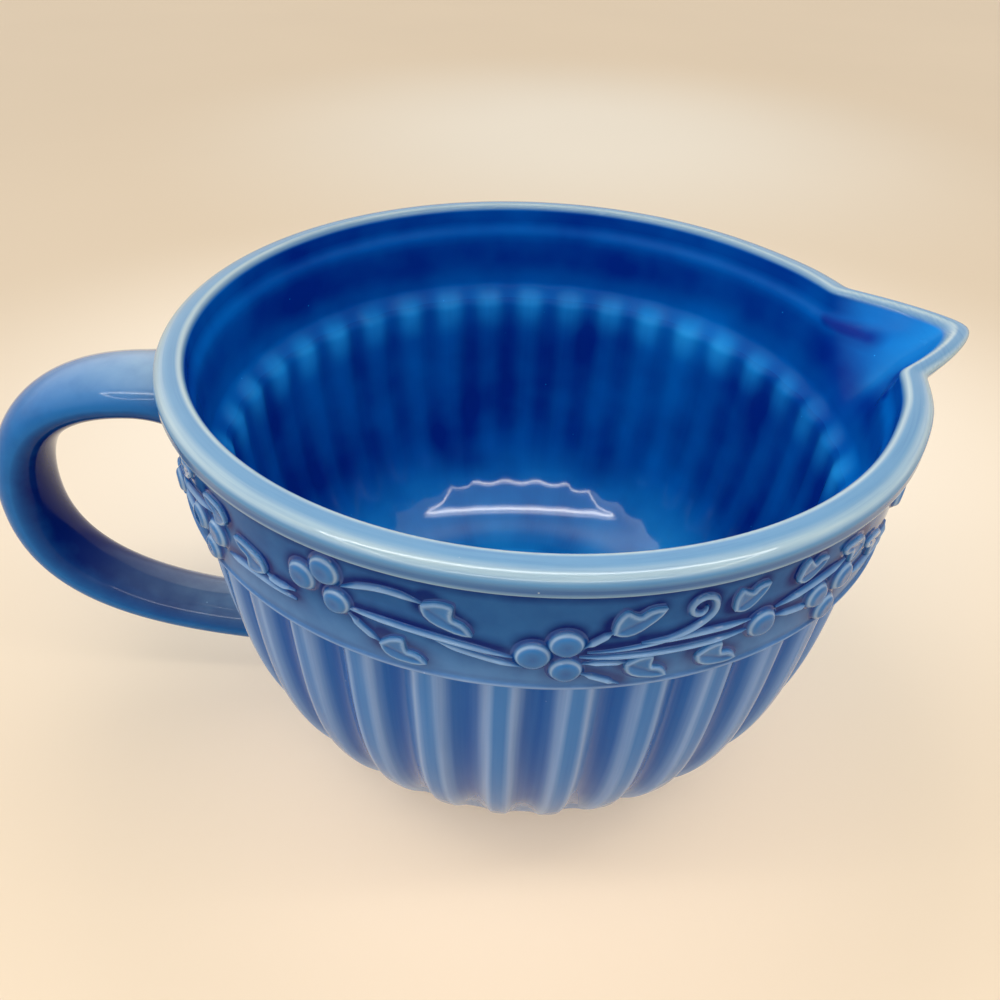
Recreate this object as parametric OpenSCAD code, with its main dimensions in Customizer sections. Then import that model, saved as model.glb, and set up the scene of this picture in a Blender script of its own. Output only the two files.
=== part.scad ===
// Batter bowl: a glazed stoneware mixing bowl with a pouring spout and a loop handle.
// The bowl stands on z = 0 with its axis on Z. The spout points along +X and the handle along -X.

/* [Rim and band] */
// Outside diameter of the rolled rim
rim_d = 200.6; // [170:0.2:230]
// Height of the bowl, from the table to the top of the rim
bowl_h = 132.4; // [115:0.2:150]
// Width of the rolled rim, from inside to outside
rim_w = 7.7; // [6:0.1:9]
// Height of the rolled rim
rim_h = 5.6; // [4.5:0.1:8]
// How far the rim stands out past the band under it
rim_overhang = 2.3; // [1:0.1:3]
// Height of the band that carries the vine
band_h = 27.8; // [23:0.1:34]
// Thickness of the band's wall
band_t = 6.5; // [5:0.1:8]
// Height of the thin lip along the band's lower edge
lip_h = 1.6; // [1:0.1:3]
// How far that lip stands out from the band
lip_out = 0.5; // [0.3:0.1:1]

/* [Fluted wall] */
// Number of flutes round the wall
flute_count = 36; // [24:1:44]
// Depth of a flute
flute_depth = 3; // [1:0.1:4]
// Share of each flute's pitch that the ridge beside it takes
ridge_share = 0.33; // [0.2:0.01:0.5]
// Angle of the first ridge from the spout, in degrees
ridge_phase = 1; // [0:0.5:10]
// Thickness of the wall at a ridge
wall_t = 8; // [6.5:0.1:10]
// How far the top of the wall steps in under the band
wall_step = 2.3; // [1:0.1:4]
// Radius of the wall where its curve runs down to the table
base_r = 61.2; // [55:0.1:66]
// How much the wall flares out towards the band
wall_flare = 1.7; // [0:0.1:4]
// How far the lobes inside stand in from the grooves between them
lobe_depth = 1.2; // [0.4:0.1:2]
// Height of the rounded shoulder at the top of the lobes
shoulder_h = 11; // [8:0.5:16]

/* [Floor and foot] */
// Outside diameter of the foot ring
foot_d = 118; // [100:1:124]
// Width of the foot ring
foot_w = 9; // [6:0.5:14]
// Height of the foot ring
foot_h = 4; // [3:0.5:7]
// Thickness of the floor
floor_t = 5; // [4:0.5:8]
// Radius of the flat inside the bowl
floor_r = 49; // [42:0.5:52]
// Height of the cove between that flat and the wall
cove_h = 20; // [12:1:30]

/* [Spout] */
// How far the spout's tip reaches out past the rim
spout_reach = 22.5; // [14:0.5:28]
// Half the angle that the spout takes of the rim, in degrees
spout_half_angle = 15; // [11:0.5:18]
// How far the tip rises above the rim
spout_rise = 0.3; // [0:0.1:4]
// How far below the top of the rim the spout starts to leave the band
spout_drop = 28.5; // [20:0.5:30]

/* [Handle] */
// Width of the strap, across the bowl
handle_w = 24; // [18:0.5:30]
// Thickness of the strap
handle_t = 14.4; // [9:0.1:16]
// How far the strap's centre line reaches out past the band
handle_reach = 52.3; // [46:0.1:62]
// Depth of the upper joint's centre below the top of the rim
handle_top_drop = 17.5; // [16.5:0.5:22]
// Height of the place where the loop reaches out furthest
handle_mid_z = 74; // [66:1:80]
// Height of the lower joint's centre above the table
handle_low_z = 24; // [20:0.5:34]

/* [Vine] */
// Height of the strip of the band that the vine takes
vine_h = 25.5; // [20:0.5:28]
// Diameter of a berry where it sits on the band
berry_d = 6.8; // [5:0.1:8]
// Height of a berry
berry_h = 2.6; // [1.5:0.1:3.4]
// Width of a leaf
leaf_w = 6.4; // [4:0.1:8]
// Height of a leaf along its middle
leaf_h = 1.4; // [0.8:0.1:2]
// Width of a stem
stem_w = 1.5; // [1:0.1:2.2]
// Height of a stem
stem_h = 1; // [0.6:0.1:1.6]
// Outer radius of a curled tendril
tendril_r = 3.4; // [2.5:0.1:4]

/* [Hidden] */
$fn = 96;
sides = ["front", "right", "back", "left"];

full_turn = 360;
half_turn = 180;
quarter_turn = 90;
overrun = 2;
// Thickness of the slip under the applied pieces
slip_t = 0.05;

rim_r = rim_d / 2;
rim_inner_r = rim_r - rim_w;
rim_z = bowl_h - rim_h;
band_r = rim_r - rim_overhang;
band_inner_r = band_r - band_t;
wall_top_z = rim_z - band_h;
wall_top_r = band_r - wall_step;
wall_swell = wall_top_r - base_r - wall_flare;
floor_z = foot_h + floor_t;
shoulder_z = wall_top_z - shoulder_h;
flute_pitch = full_turn / flute_count;

// The wall's curve
wall_curve_power = 3.2;
flare_power = 3;
cove_power = 2.5;
outer_ring_shares = [0, 0.06, 0.15, 0.3, 0.52, 0.75, 0.9, 0.96, 1];
outer_fade_shares = [0, 0.45, 0.9, 1, 1, 1, 1, 0.6, 0];
inner_ring_shares = [0, 0.022, 0.06, 0.17, 0.4, 0.7, 0.88, 0.95, 1];
inner_fade_shares = [0, 0, 0.3, 0.8, 1, 1, 0.9, 0.5, 0];
flute_column_shares = [0, 0.25, 0.5, 0.75, 1];
flute_form_shares = [0, 0.75, 1, 0.75, 0];

// The rim's rounded section, as shares of its width and height from its inner lower corner
rim_section_shares = [
    [0, 0], [1, 0], [1.0, 0.42], [0.965, 0.68], [0.87, 0.88], [0.72, 0.985],
    [0.5, 1], [0.27, 0.95], [0.1, 0.83], [0.02, 0.62]
];

// The spout's steps, from one side to the other, and how far it is pulled out at each
spout_step_shares = [-1, -0.94, -0.8, -0.6, -0.4, -0.2, -0.08, 0, 0.08, 0.2, 0.4, 0.6, 0.8, 0.94, 1];
spout_level_shares = [0.25, 0.5, 0.75];
spout_tip_round_share = 0.12;
spout_curve_power = 1.25;

// The handle's curve: how far each end's tangent runs, as shares of the reach and of the drop
handle_rise_share = 0.09;
handle_top_run_share = 0.75;
handle_top_fall_share = 0.63;
handle_low_fall_share = 0.61;
handle_low_run_share = 0.58;
handle_low_rise_share = 0.08;
handle_flare_share = 0.25;
handle_flare_power = 6;
handle_rings = 24;
handle_sides = 18;

// The vine repeats four times round the band
vine_start_angle = -145;
vine_turn = full_turn / len(sides);
vine_margin_w = 4;
stem_rings = 7;
tendril_rings = 20;
tendril_turns = 1.3;
tendril_core_share = 0.28;
leaf_station_shares = [0, 0.14, 0.3, 0.46, 0.64, 0.84, 1];
leaf_form_shares = [0.2, 0.8, 1, 0.64, 0.68, 0.36, 0.08];
ridge_section_shares = [[-1, 0], [-0.7, 0.6], [0, 1], [0.7, 0.6], [1, 0]];

// Places on the band: share of the repeat along it, share of the vine's height up it
berry_shares = [
    [0.229, 0.68], [0.268, 0.84], [0.283, 0.55],
    [0.55, 0.4], [0.592, 0.541], [0.594, 0.25],
    [0.87, 0.412],
    [0.976, 0.42], [1.035, 0.45], [1.008, 0.18]
];
// Each leaf runs from its base to its tip
leaf_shares = [
    [[0.405, 0.8], [0.472, 0.55]],
    [[0.345, 0.25], [0.412, 0.14]],
    [[0.65, 0.64], [0.716, 0.87]],
    [[0.672, 0.29], [0.733, 0.1]],
    [[0.772, 0.26], [0.839, 0.1]],
    [[0.815, 0.68], [0.865, 0.89]],
    [[0.917, 0.76], [0.972, 0.88]],
    [[0.155, 0.45], [0.089, 0.63]],
    [[0.072, 0.7], [0.011, 0.81]]
];
// Each stem is a curve from its first point to its last, drawn towards the middle one
stem_shares = [
    [[0.3, 0.75], [0.35, 0.9], [0.4, 0.81]],
    [[0.305, 0.43], [0.32, 0.35], [0.34, 0.27]],
    [[0.3, 0.52], [0.43, 0.5], [0.515, 0.37]],
    [[0.62, 0.51], [0.636, 0.58], [0.647, 0.63]],
    [[0.62, 0.38], [0.73, 0.36], [0.84, 0.39]],
    [[0.7, 0.5], [0.77, 0.52], [0.84, 0.5]],
    [[0.623, 0.31], [0.65, 0.32], [0.668, 0.3]],
    [[0.62, 0.18], [0.64, 0.13], [0.66, 0.07]],
    [[0.9, 0.54], [0.965, 0.62], [1.02, 0.65]],
    [[0.9, 0.42], [0.93, 0.38], [0.955, 0.365]],
    [[0.07, 0.33], [0.12, 0.38], [0.2, 0.33]],
    [[0.16, 0.43], [0.172, 0.4], [0.2, 0.42]]
];
// The tendril's stem starts here and curls round its centre
tendril_stem_share = [0.62, 0.43];
tendril_bend_share = [0.75, 0.56];
tendril_centre_share = [0.765, 0.8];

// Rounding curves
function ease(t) = t * t * (3 - 2 * t);
function mix(a, b, t) = a + (b - a) * t;
function bend3(p, t) = mix(mix(p[0], p[1], t), mix(p[1], p[2], t), t);
function bend4(p, t) = mix(bend3([p[0], p[1], p[2]], t), bend3([p[1], p[2], p[3]], t), t);

// Radius of the wall at a ridge
function wall_r(z) = base_r
    + wall_swell * (1 - pow(1 - z / wall_top_z, wall_curve_power))
    + wall_flare * pow(z / wall_top_z, flare_power);
// Radius inside the wall, at a groove between two lobes: less a cove at the floor, more above the shoulder
function cove(z) = (wall_r(floor_z) - wall_t - floor_r)
    * pow(max(1 - (z - floor_z) / cove_h, 0), cove_power);
function shoulder(z) = z < shoulder_z ? 0
    : (wall_t - wall_top_r + band_inner_r) * ease((z - shoulder_z) / shoulder_h);
function inner_r(z) = wall_r(z) - wall_t - cove(z) + shoulder(z);

// Angle of a column of points on the flutes, and how deep the flute is there
flute_columns = [for (k = [0:flute_count - 1], c = flute_column_shares)
    ridge_phase + flute_pitch * (k + ridge_share / 2 + c * (1 - ridge_share))];
flute_forms = [for (k = [0:flute_count - 1], f = flute_form_shares) f];

function on_axis(r, a, z) = [r * cos(a), r * sin(a), z];
function wall_level(share) = mix(floor_z, wall_top_z, share);
function outer_ring(i) = let (z = wall_level(outer_ring_shares[i]))
    [for (j = [0:len(flute_columns) - 1])
        on_axis(wall_r(z) - flute_depth * outer_fade_shares[i] * flute_forms[j], flute_columns[j], z)];
function inner_ring(i) = let (z = wall_level(inner_ring_shares[i]))
    [for (j = [0:len(flute_columns) - 1])
        on_axis(inner_r(z) - lobe_depth * inner_fade_shares[i] * flute_forms[j], flute_columns[j], z)];

// Faces between rings of n points: round a closed loop of m rings, or along a tube with two ends
function strip_faces(i, k, n) = [for (j = [0:n - 1]) let (q = (j + 1) % n)
    each [[i * n + j, k * n + j, k * n + q], [i * n + j, k * n + q, i * n + q]]];
function loop_faces(m, n) = [for (i = [0:m - 1]) each strip_faces(i, (i + 1) % m, n)];
function tube_faces(m, n) = concat(
    [for (i = [0:m - 2]) each strip_faces(i, i + 1, n)],
    [for (j = [1:n - 2]) [0, j, j + 1]],
    [for (j = [1:n - 2]) [(m - 1) * n, (m - 1) * n + j + 1, (m - 1) * n + j]]
);
module tube(rings) {
    polyhedron(points = [for (ring = rings) each ring], faces = tube_faces(len(rings), len(rings[0])));
}

// Sections of the band and the rim, shared by the rings and by the spout between them
function band_outline() = [
    [band_inner_r, wall_top_z],
    [band_r + lip_out, wall_top_z],
    [band_r + lip_out, wall_top_z + lip_h / 2],
    [band_r, wall_top_z + lip_h],
    [band_r, rim_z],
    [band_inner_r, rim_z]
];
function rim_outline() = [for (s = rim_section_shares)
    [rim_inner_r + rim_w * s[0], rim_z + rim_h * s[1]]];
// The spout's own section, once round: up the outside, over the rim and down the inside
function spout_outline() = concat(
    [for (i = [1:3]) band_outline()[i]],
    [for (s = spout_level_shares) [band_r, mix(wall_top_z + lip_h, rim_z, s)]],
    [[band_r, rim_z]],
    [for (i = [1:len(rim_section_shares) - 1]) rim_outline()[i]],
    [[rim_inner_r, rim_z], [band_inner_r, rim_z]],
    [for (s = spout_level_shares) [band_inner_r, mix(rim_z, wall_top_z + lip_h, s)]],
    [[band_inner_r, wall_top_z]]
);
spout_low_z = bowl_h - spout_drop;
function spout_pull(s) = 1 - sqrt(pow(s, 2) + pow(spout_tip_round_share, 2) * (1 - pow(s, 2)));
function spout_level(z) = pow(max(z - spout_low_z, 0) / spout_drop, spout_curve_power);
function spout_ring(s) = [for (q = spout_outline()) let (pull = spout_pull(s) * spout_level(q[1]))
    on_axis(q[0] + spout_reach * pull / (1 - spout_tip_round_share), spout_half_angle * s,
        q[1] + spout_rise * pull)];

// The handle's centre line, in radius and height, as two curves that meet where it reaches furthest
handle_top = [band_r, bowl_h - handle_top_drop];
handle_mid = [band_r + handle_reach, handle_mid_z];
handle_low = [wall_r(handle_low_z), handle_low_z];
handle_fall = handle_top[1] - handle_mid_z;
handle_drop = handle_mid_z - handle_low_z;
handle_upper = [
    handle_top - [handle_t, handle_t * handle_rise_share],
    handle_top + [handle_reach * handle_top_run_share, handle_reach * handle_rise_share],
    handle_mid + [0, handle_fall * handle_top_fall_share],
    handle_mid
];
handle_run = handle_mid[0] - handle_low[0];
handle_lower = [
    handle_mid,
    handle_mid - [0, handle_drop * handle_low_fall_share],
    handle_low + [handle_run * handle_low_run_share, handle_drop * handle_low_rise_share],
    handle_low - [handle_t, handle_t * handle_low_rise_share]
];
function handle_line(t) = t < 0.5 ? bend4(handle_upper, 2 * t) : bend4(handle_lower, 2 * t - 1);
function handle_swell(t) = 1 + handle_flare_share * pow(abs(2 * t - 1), handle_flare_power);
function unit(v) = v / norm(v);
function handle_ring(i) =
    let (t = i / handle_rings, step = 1 / handle_rings)
    let (along = unit(handle_line(min(t + step, 1)) - handle_line(max(t - step, 0))))
    let (middle = handle_line(t), swell = handle_swell(t))
    [for (k = [0:handle_sides - 1])
        let (a = full_turn * k / handle_sides)
        let (off = handle_t * swell * cos(a) / 2)
        [-middle[0] + off * along[1], handle_w * swell * sin(a) / 2, middle[1] + off * along[0]]];

// Places on the band, as an angle and a height, clear of the handle and the spout
function vine_angle(side, share) = vine_start_angle + vine_turn * (side + share);
function vine_z(share) = wall_top_z + vine_h * share;
function turned(a) = abs((a % full_turn + full_turn + half_turn) % full_turn - half_turn);
arc_angle = half_turn / (PI * band_r);
handle_zone = (handle_w * (1 + handle_flare_share) / 2 + vine_margin_w) * arc_angle;
spout_zone = spout_half_angle + vine_margin_w * arc_angle;
function clear(a) = turned(a) > spout_zone && turned(a - half_turn) > handle_zone;
function all_clear(side, shares) = len([for (p = shares) if (!clear(vine_angle(side, p[0]))) p]) == 0;

// A raised line on the band through points given as shares, with its half width and height at each
function on_band(side, p, across, out) = let (z = vine_z(p[1]) + across[1])
    on_axis(band_r + slip_t + out, vine_angle(side, p[0]) + across[0] * arc_angle, z);
function flat(p) = [p[0] * vine_turn / arc_angle, p[1] * vine_h];
function ridge_ring(side, points, i, half_w, h) =
    let (last = len(points) - 1)
    let (along = unit(flat(points[min(i + 1, last)]) - flat(points[max(i - 1, 0)])))
    [for (s = ridge_section_shares)
        on_band(side, points[i], half_w * s[0] * [-along[1], along[0]], h * s[1])];
module ridge(side, points, half_ws, hs) {
    tube([for (i = [0:len(points) - 1]) ridge_ring(side, points, i, half_ws[i], hs[i])]);
}

// A berry is a cap of this sphere
berry_sphere_r = (pow(berry_d / 2, 2) + pow(berry_h, 2)) / (2 * berry_h);

// A tendril's points: its stem, then the curl from the outside in
function curl_point(t) = let (a = full_turn * tendril_turns * t - half_turn)
    tendril_centre_share + tendril_r * mix(1, tendril_core_share, t)
        * [cos(a) * arc_angle / vine_turn, sin(a) / vine_h];
tendril_lead = [for (i = [0:stem_rings - 1])
    bend3([tendril_stem_share, tendril_bend_share, curl_point(0)], i / stem_rings)];
tendril_points = concat(tendril_lead, [for (i = [0:tendril_rings]) curl_point(i / tendril_rings)]);

// A tendril is left out where the handle or the spout stands in its place

module foot_ring() {
    color("antiquewhite")
    rotate_extrude()
    translate([foot_d / 2 - foot_w, 0])
    square([foot_w, foot_h]);
}

module bowl_floor() {
    color("steelblue")
    rotate_extrude()
    polygon([[0, foot_h], [wall_r(foot_h), foot_h], [wall_r(floor_z), floor_z], [0, floor_z]]);
}

module fluted_wall() {
    outer = [for (i = [0:len(outer_ring_shares) - 1]) outer_ring(i)];
    inner = [for (i = [len(inner_ring_shares) - 1:-1:0]) inner_ring(i)];
    rings = concat(outer, inner);
    color("steelblue")
    polyhedron(points = [for (ring = rings) each ring],
        faces = loop_faces(len(rings), len(flute_columns)));
}

module spout_gap_turn(outline) {
    rotate([0, 0, spout_half_angle])
    rotate_extrude(angle = full_turn - 2 * spout_half_angle)
    polygon(outline);
}

module frieze_band() {
    color("cornflowerblue") spout_gap_turn(band_outline());
}

module rim_bead() {
    color("lightskyblue") spout_gap_turn(rim_outline());
}

module pouring_spout() {
    color("skyblue") tube([for (s = spout_step_shares) spout_ring(s)]);
}

// The space inside the ridges, which the handle's lower end is cut to
module wall_core() {
    rotate_extrude()
    polygon(concat([[0, floor_z]],
        [for (s = outer_ring_shares) [wall_r(wall_level(s)), wall_level(s)]],
        [[0, wall_top_z]]));
}

module handle() {
    color("cornflowerblue")
    difference() {
        tube([for (i = [0:handle_rings]) handle_ring(i)]);
        wall_core();
        translate([0, 0, wall_top_z]) cylinder(r = band_r, h = band_h + rim_h + overrun);
    }
}

module berry() {
    difference() {
        translate([0, 0, berry_h - berry_sphere_r]) sphere(r = berry_sphere_r);
        translate([-berry_d, -berry_d, -2 * berry_d]) cube(2 * berry_d);
    }
}

module berries(side) {
    color("lightblue")
    for (p = berry_shares)
        if (clear(vine_angle(side, p[0])))
            translate(on_axis(band_r + slip_t, vine_angle(side, p[0]), vine_z(p[1])))
            rotate([0, quarter_turn, vine_angle(side, p[0])])
            berry();
}

module leaves(side) {
    color("lightsteelblue")
    for (p = leaf_shares)
        if (all_clear(side, p))
            ridge(side, [for (s = leaf_station_shares) mix(p[0], p[1], s)],
                [for (f = leaf_form_shares) leaf_w * f / 2], [for (f = leaf_form_shares) leaf_h * sqrt(f)]);
}

module stems(side) {
    color("lightsteelblue")
    for (p = stem_shares)
        if (all_clear(side, p))
            ridge(side, [for (i = [0:stem_rings - 1]) bend3(p, i / (stem_rings - 1))],
                [for (i = [0:stem_rings - 1]) stem_w / 2], [for (i = [0:stem_rings - 1]) stem_h]);
}

module tendril(side) {
    color("lightsteelblue")
    if (all_clear(side, tendril_points))
        ridge(side, tendril_points, [for (p = tendril_points) stem_w / 2], [for (p = tendril_points) stem_h]);
}

foot_ring();
bowl_floor();
fluted_wall();
frieze_band();
rim_bead();
pouring_spout();
handle();
for (i = [0:len(sides) - 1]) {
    berries(i);
    leaves(i);
    stems(i);
    tendril(i);
}
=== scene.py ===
"""Looks of a batter bowl: fluted stoneware in cobalt glaze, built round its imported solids.

Every piece is in metres in the solids' own frame: the foot stands on z = 0, the spout points along +X
and the handle along -X.
"""

from __future__ import annotations

import logging
import math
from collections.abc import Mapping, Sequence
from dataclasses import dataclass
from enum import Enum

import bmesh
import bpy
import numpy as np
from mathutils import Matrix, Vector


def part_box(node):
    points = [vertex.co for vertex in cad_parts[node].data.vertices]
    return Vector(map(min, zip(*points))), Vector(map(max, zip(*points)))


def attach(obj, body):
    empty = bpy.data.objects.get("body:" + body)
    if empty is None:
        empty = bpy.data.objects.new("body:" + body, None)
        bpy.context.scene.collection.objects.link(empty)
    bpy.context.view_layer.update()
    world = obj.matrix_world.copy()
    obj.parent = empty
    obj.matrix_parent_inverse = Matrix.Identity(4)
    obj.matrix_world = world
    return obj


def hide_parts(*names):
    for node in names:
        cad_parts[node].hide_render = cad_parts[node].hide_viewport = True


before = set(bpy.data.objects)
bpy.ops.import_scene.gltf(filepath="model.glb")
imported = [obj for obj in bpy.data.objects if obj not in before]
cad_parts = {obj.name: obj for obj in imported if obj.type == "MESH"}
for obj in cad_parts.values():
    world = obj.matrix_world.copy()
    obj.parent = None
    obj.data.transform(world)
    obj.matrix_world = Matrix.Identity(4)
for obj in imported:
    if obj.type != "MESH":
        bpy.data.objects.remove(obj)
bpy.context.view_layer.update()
LOG = logging.getLogger("batter_bowl")

MM = 0.001
SHARP_ANGLE = math.radians(48)
BODY = "root"
# Pale glaze stands both for thin glaze over edges and for painted highlights, reflections and light; dark
# glaze both for pooled glaze and for painted shade.
THIN_AND_LIT = "glaze_thin"
POOL_AND_SHADE = "glaze_pool"
INNER = "glaze_inner"
Colour = tuple[float, float, float]
BLACK: Colour = (0.0, 0.0, 0.0)


class Slot(Enum):
    """The record's material slots."""

    CLAY = "bare_clay"
    WALL = "wall_glaze"
    BAND = "band_glaze"
    RIM = "rim_glaze"
    HANDLE = "handle_glaze"
    SPRIG = "sprig_glaze"


class Side(Enum):
    """The four repeats of the vine, counted round the band from the front."""

    FRONT = 0
    RIGHT = 1
    BACK = 2
    LEFT = 3


class Streak(Enum):
    """The way that the glaze's streaks run: down a wall, round a rim, or in clouds."""

    DOWN = (70.0, 16.0)
    ROUND = (5.0, 1300.0)
    CLOUD = (30.0, 160.0)


@dataclass(frozen=True)
class Wire:
    """A socket of a node tree, on which arithmetic adds Math nodes."""

    tree: NodeTree
    socket: bpy.types.NodeSocket

    def __add__(self, other: Value) -> Wire:
        """Adds."""
        return self.tree.math("ADD", self, other)

    def __sub__(self, other: Value) -> Wire:
        """Subtracts."""
        return self.tree.math("SUBTRACT", self, other)

    def __rsub__(self, other: Value) -> Wire:
        """Subtracts this from another value."""
        return self.tree.math("SUBTRACT", other, self)

    def __mul__(self, other: Value) -> Wire:
        """Multiplies."""
        return self.tree.math("MULTIPLY", self, other)

    def __truediv__(self, other: Value) -> Wire:
        """Divides."""
        return self.tree.math("DIVIDE", self, other)

    def __rtruediv__(self, other: Value) -> Wire:
        """Divides another value by this."""
        return self.tree.math("DIVIDE", other, self)

    def __pow__(self, other: Value) -> Wire:
        """Raises to a power."""
        return self.tree.math("POWER", self, other)

    def __gt__(self, other: Value) -> Wire:
        """Gives 1 where this is greater, and 0 elsewhere."""
        return self.tree.math("GREATER_THAN", self, other)

    __radd__ = __add__
    __rmul__ = __mul__


Value = Wire | float


class NodeTree:
    """Builds the nodes of one tree."""

    def __init__(self, tree: bpy.types.NodeTree) -> None:
        """Wraps a tree that exists."""
        self.tree = tree

    def node(
        self,
        kind: str,
        settings: Mapping[str, object] | None = None,
        inputs: Mapping[str | int, object] | None = None,
    ) -> bpy.types.Node:
        """Adds a node.

        Args:
            kind: The node's type.
            settings: The node's own settings, which are set first.
            inputs: A value or a wire for each socket named or numbered.

        Returns:
            The new node.
        """
        made = self.tree.nodes.new(kind)
        for name, value in (settings or {}).items():
            setattr(made, name, value)
        for name, value in (inputs or {}).items():
            if isinstance(value, Wire):
                self.tree.links.new(value.socket, made.inputs[name])
            else:
                made.inputs[name].default_value = value
        return made

    def wire(
        self,
        kind: str,
        output: str | int = 0,
        settings: Mapping[str, object] | None = None,
        inputs: Mapping[str | int, object] | None = None,
    ) -> Wire:
        """Adds a node and gives one of its outputs, with the same arguments as node."""
        return Wire(self, self.node(kind, settings, inputs).outputs[output])

    def math(self, operation: str, *values: Value) -> Wire:
        """Adds a Math node on the values given."""
        return self.wire("ShaderNodeMath", 0, {"operation": operation}, dict(enumerate(values)))

    def clamp(self, value: Value) -> Wire:
        """Keeps a value between 0 and 1."""
        return self.wire("ShaderNodeClamp", 0, None, {"Value": value})

    def ease(self, low: Value, high: Value, value: Value) -> Wire:
        """Rises smoothly from 0 at low to 1 at high."""
        limits = {"Value": value, "From Min": low, "From Max": high}
        return self.wire("ShaderNodeMapRange", 0, {"interpolation_type": "SMOOTHSTEP"}, limits)

    def choose(self, low: Value, high: Value, share: Value) -> Wire:
        """Goes from low at share 0 to high at share 1."""
        return self.wire("ShaderNodeMix", 0, {"data_type": "FLOAT"}, {0: share, 2: low, 3: high})

    def tint(self, low: Wire | Colour, high: Wire | Colour, share: Value) -> Wire:
        """Mixes two colours."""
        ends = [c if isinstance(c, Wire) else (*c, 1.0) for c in (low, high)]
        return self.wire("ShaderNodeMix", 2, {"data_type": "RGBA"}, {0: share, 6: ends[0], 7: ends[1]})

    def plus(self, first: Wire | Colour, second: Wire) -> Wire:
        """Adds two colours or vectors."""
        return self.wire("ShaderNodeVectorMath", 0, {"operation": "ADD"}, {0: first, 1: second})

    def split(self, vector: Wire) -> list[Wire]:
        """Gives a vector's three parts."""
        made = self.node("ShaderNodeSeparateXYZ", None, {0: vector})
        return [Wire(self, socket) for socket in made.outputs]

    def vector(self, x: Value, y: Value, z: Value) -> Wire:
        """Joins three values in a vector."""
        return self.wire("ShaderNodeCombineXYZ", 0, None, {0: x, 1: y, 2: z})

    def around(self, angle: Wire, radius: Value, height: Value) -> Wire:
        """Gives the place at an angle, a radius and a height about the axis."""
        return self.vector(radius * self.math("COSINE", angle), radius * self.math("SINE", angle), height)

    def noise(self, place_at: Wire, scale: float, detail: float = 2.0) -> Wire:
        """Gives soft noise between 0 and 1."""
        inputs = {"Vector": place_at, "Scale": scale, "Detail": detail}
        return self.wire("ShaderNodeTexNoise", 0, None, inputs)

    def relief(self, strength: float, distance: float, height: Wire) -> Wire:
        """Gives the normal of a surface with small relief."""
        inputs = {"Strength": strength, "Distance": distance, "Height": height}
        return self.wire("ShaderNodeBump", 0, None, inputs)

    def surface(self, inputs: Mapping[str, object]) -> Wire:
        """Adds a surface with the inputs given."""
        return self.wire("ShaderNodeBsdfPrincipled", 0, None, inputs)

    def seen_ray(self, kind: str) -> Wire:
        """Says whether light is followed on a ray of a kind, such as Camera or Glossy."""
        return self.wire("ShaderNodeLightPath", f"Is {kind} Ray")


class GeometryTree(NodeTree):
    """A Geometry Nodes tree with named sizes, which turns an object's mesh into a finished one."""

    def __init__(self, name: str) -> None:
        """Starts an empty tree with its geometry sockets."""
        super().__init__(bpy.data.node_groups.new(name, "GeometryNodeTree"))
        for way in ("INPUT", "OUTPUT"):
            self.tree.interface.new_socket("Geometry", in_out=way, socket_type="NodeSocketGeometry")
        self.start = self.node("NodeGroupInput")
        self.values: dict[str, object] = {}

    def size(self, name: str, value: object, kind: str = "NodeSocketFloat") -> Wire:
        """Adds a named input.

        Args:
            name: The input's name.
            value: What the modifier sets it to.
            kind: The type of its socket.

        Returns:
            The input's wire.
        """
        socket = self.tree.interface.new_socket(name, in_out="INPUT", socket_type=kind)
        self.values[socket.identifier] = value
        return Wire(self, self.start.outputs[name])

    def geometry(self) -> Wire:
        """Gives the object's own geometry."""
        return Wire(self, self.start.outputs["Geometry"])

    def store(self, geometry: Wire, name: str, value: Value) -> Wire:
        """Keeps a value on every point under a name."""
        inputs = {"Geometry": geometry, "Name": name, "Value": value}
        return self.wire("GeometryNodeStoreNamedAttribute", 0, {"domain": "POINT"}, inputs)

    def stored(self, name: str, kind: str = "FLOAT") -> Wire:
        """Reads a value kept on the points."""
        return self.wire("GeometryNodeInputNamedAttribute", 0, {"data_type": kind}, {"Name": name})

    def moved(self, geometry: Wire, position: Wire) -> Wire:
        """Sets every point's position."""
        inputs = {"Geometry": geometry, "Position": position}
        return self.wire("GeometryNodeSetPosition", 0, None, inputs)

    def bake(self, geometry: Wire, material: bpy.types.Material, start: bpy.types.Mesh) -> bpy.types.Mesh:
        """Ends the tree and runs it.

        Args:
            geometry: The finished geometry.
            material: The finish to set on it.
            start: The mesh that the tree starts from.

        Returns:
            The result as a plain mesh.
        """
        real = self.wire("GeometryNodeRealizeInstances", 0, None, {"Geometry": geometry})
        dressed = self.wire("GeometryNodeSetMaterial", 0, None, {"Geometry": real, "Material": material})
        self.node("NodeGroupOutput", None, {"Geometry": dressed})
        carrier = add_object(self.tree.name, start)
        modifier = carrier.modifiers.new(self.tree.name, "NODES")
        modifier.node_group = self.tree
        for identifier, value in self.values.items():
            modifier[identifier] = value
        graph = bpy.context.evaluated_depsgraph_get()
        mesh = bpy.data.meshes.new_from_object(carrier.evaluated_get(graph), depsgraph=graph)
        carrier.modifiers.remove(modifier)
        bpy.data.objects.remove(carrier)
        return mesh


def blank_tree(owner: bpy.types.Material | bpy.types.World) -> NodeTree:
    """Empties the tree of a material or a world and wraps it."""
    owner.use_nodes = True
    owner.node_tree.nodes.clear()
    return NodeTree(owner.node_tree)


def add_object(name: str, data: bpy.types.ID) -> bpy.types.Object:
    """Adds an object to the scene."""
    made = bpy.data.objects.new(name, data)
    bpy.context.scene.collection.objects.link(made)
    return made


@dataclass(frozen=True)
class Colours:
    """A glaze's colours at its usual depth, where it runs thin over an edge and where it pools; the thin
    colour also paints highlights, reflections and light, and the deep colour paints shade.
    """

    body: Colour
    thin: Colour
    deep: Colour


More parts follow.
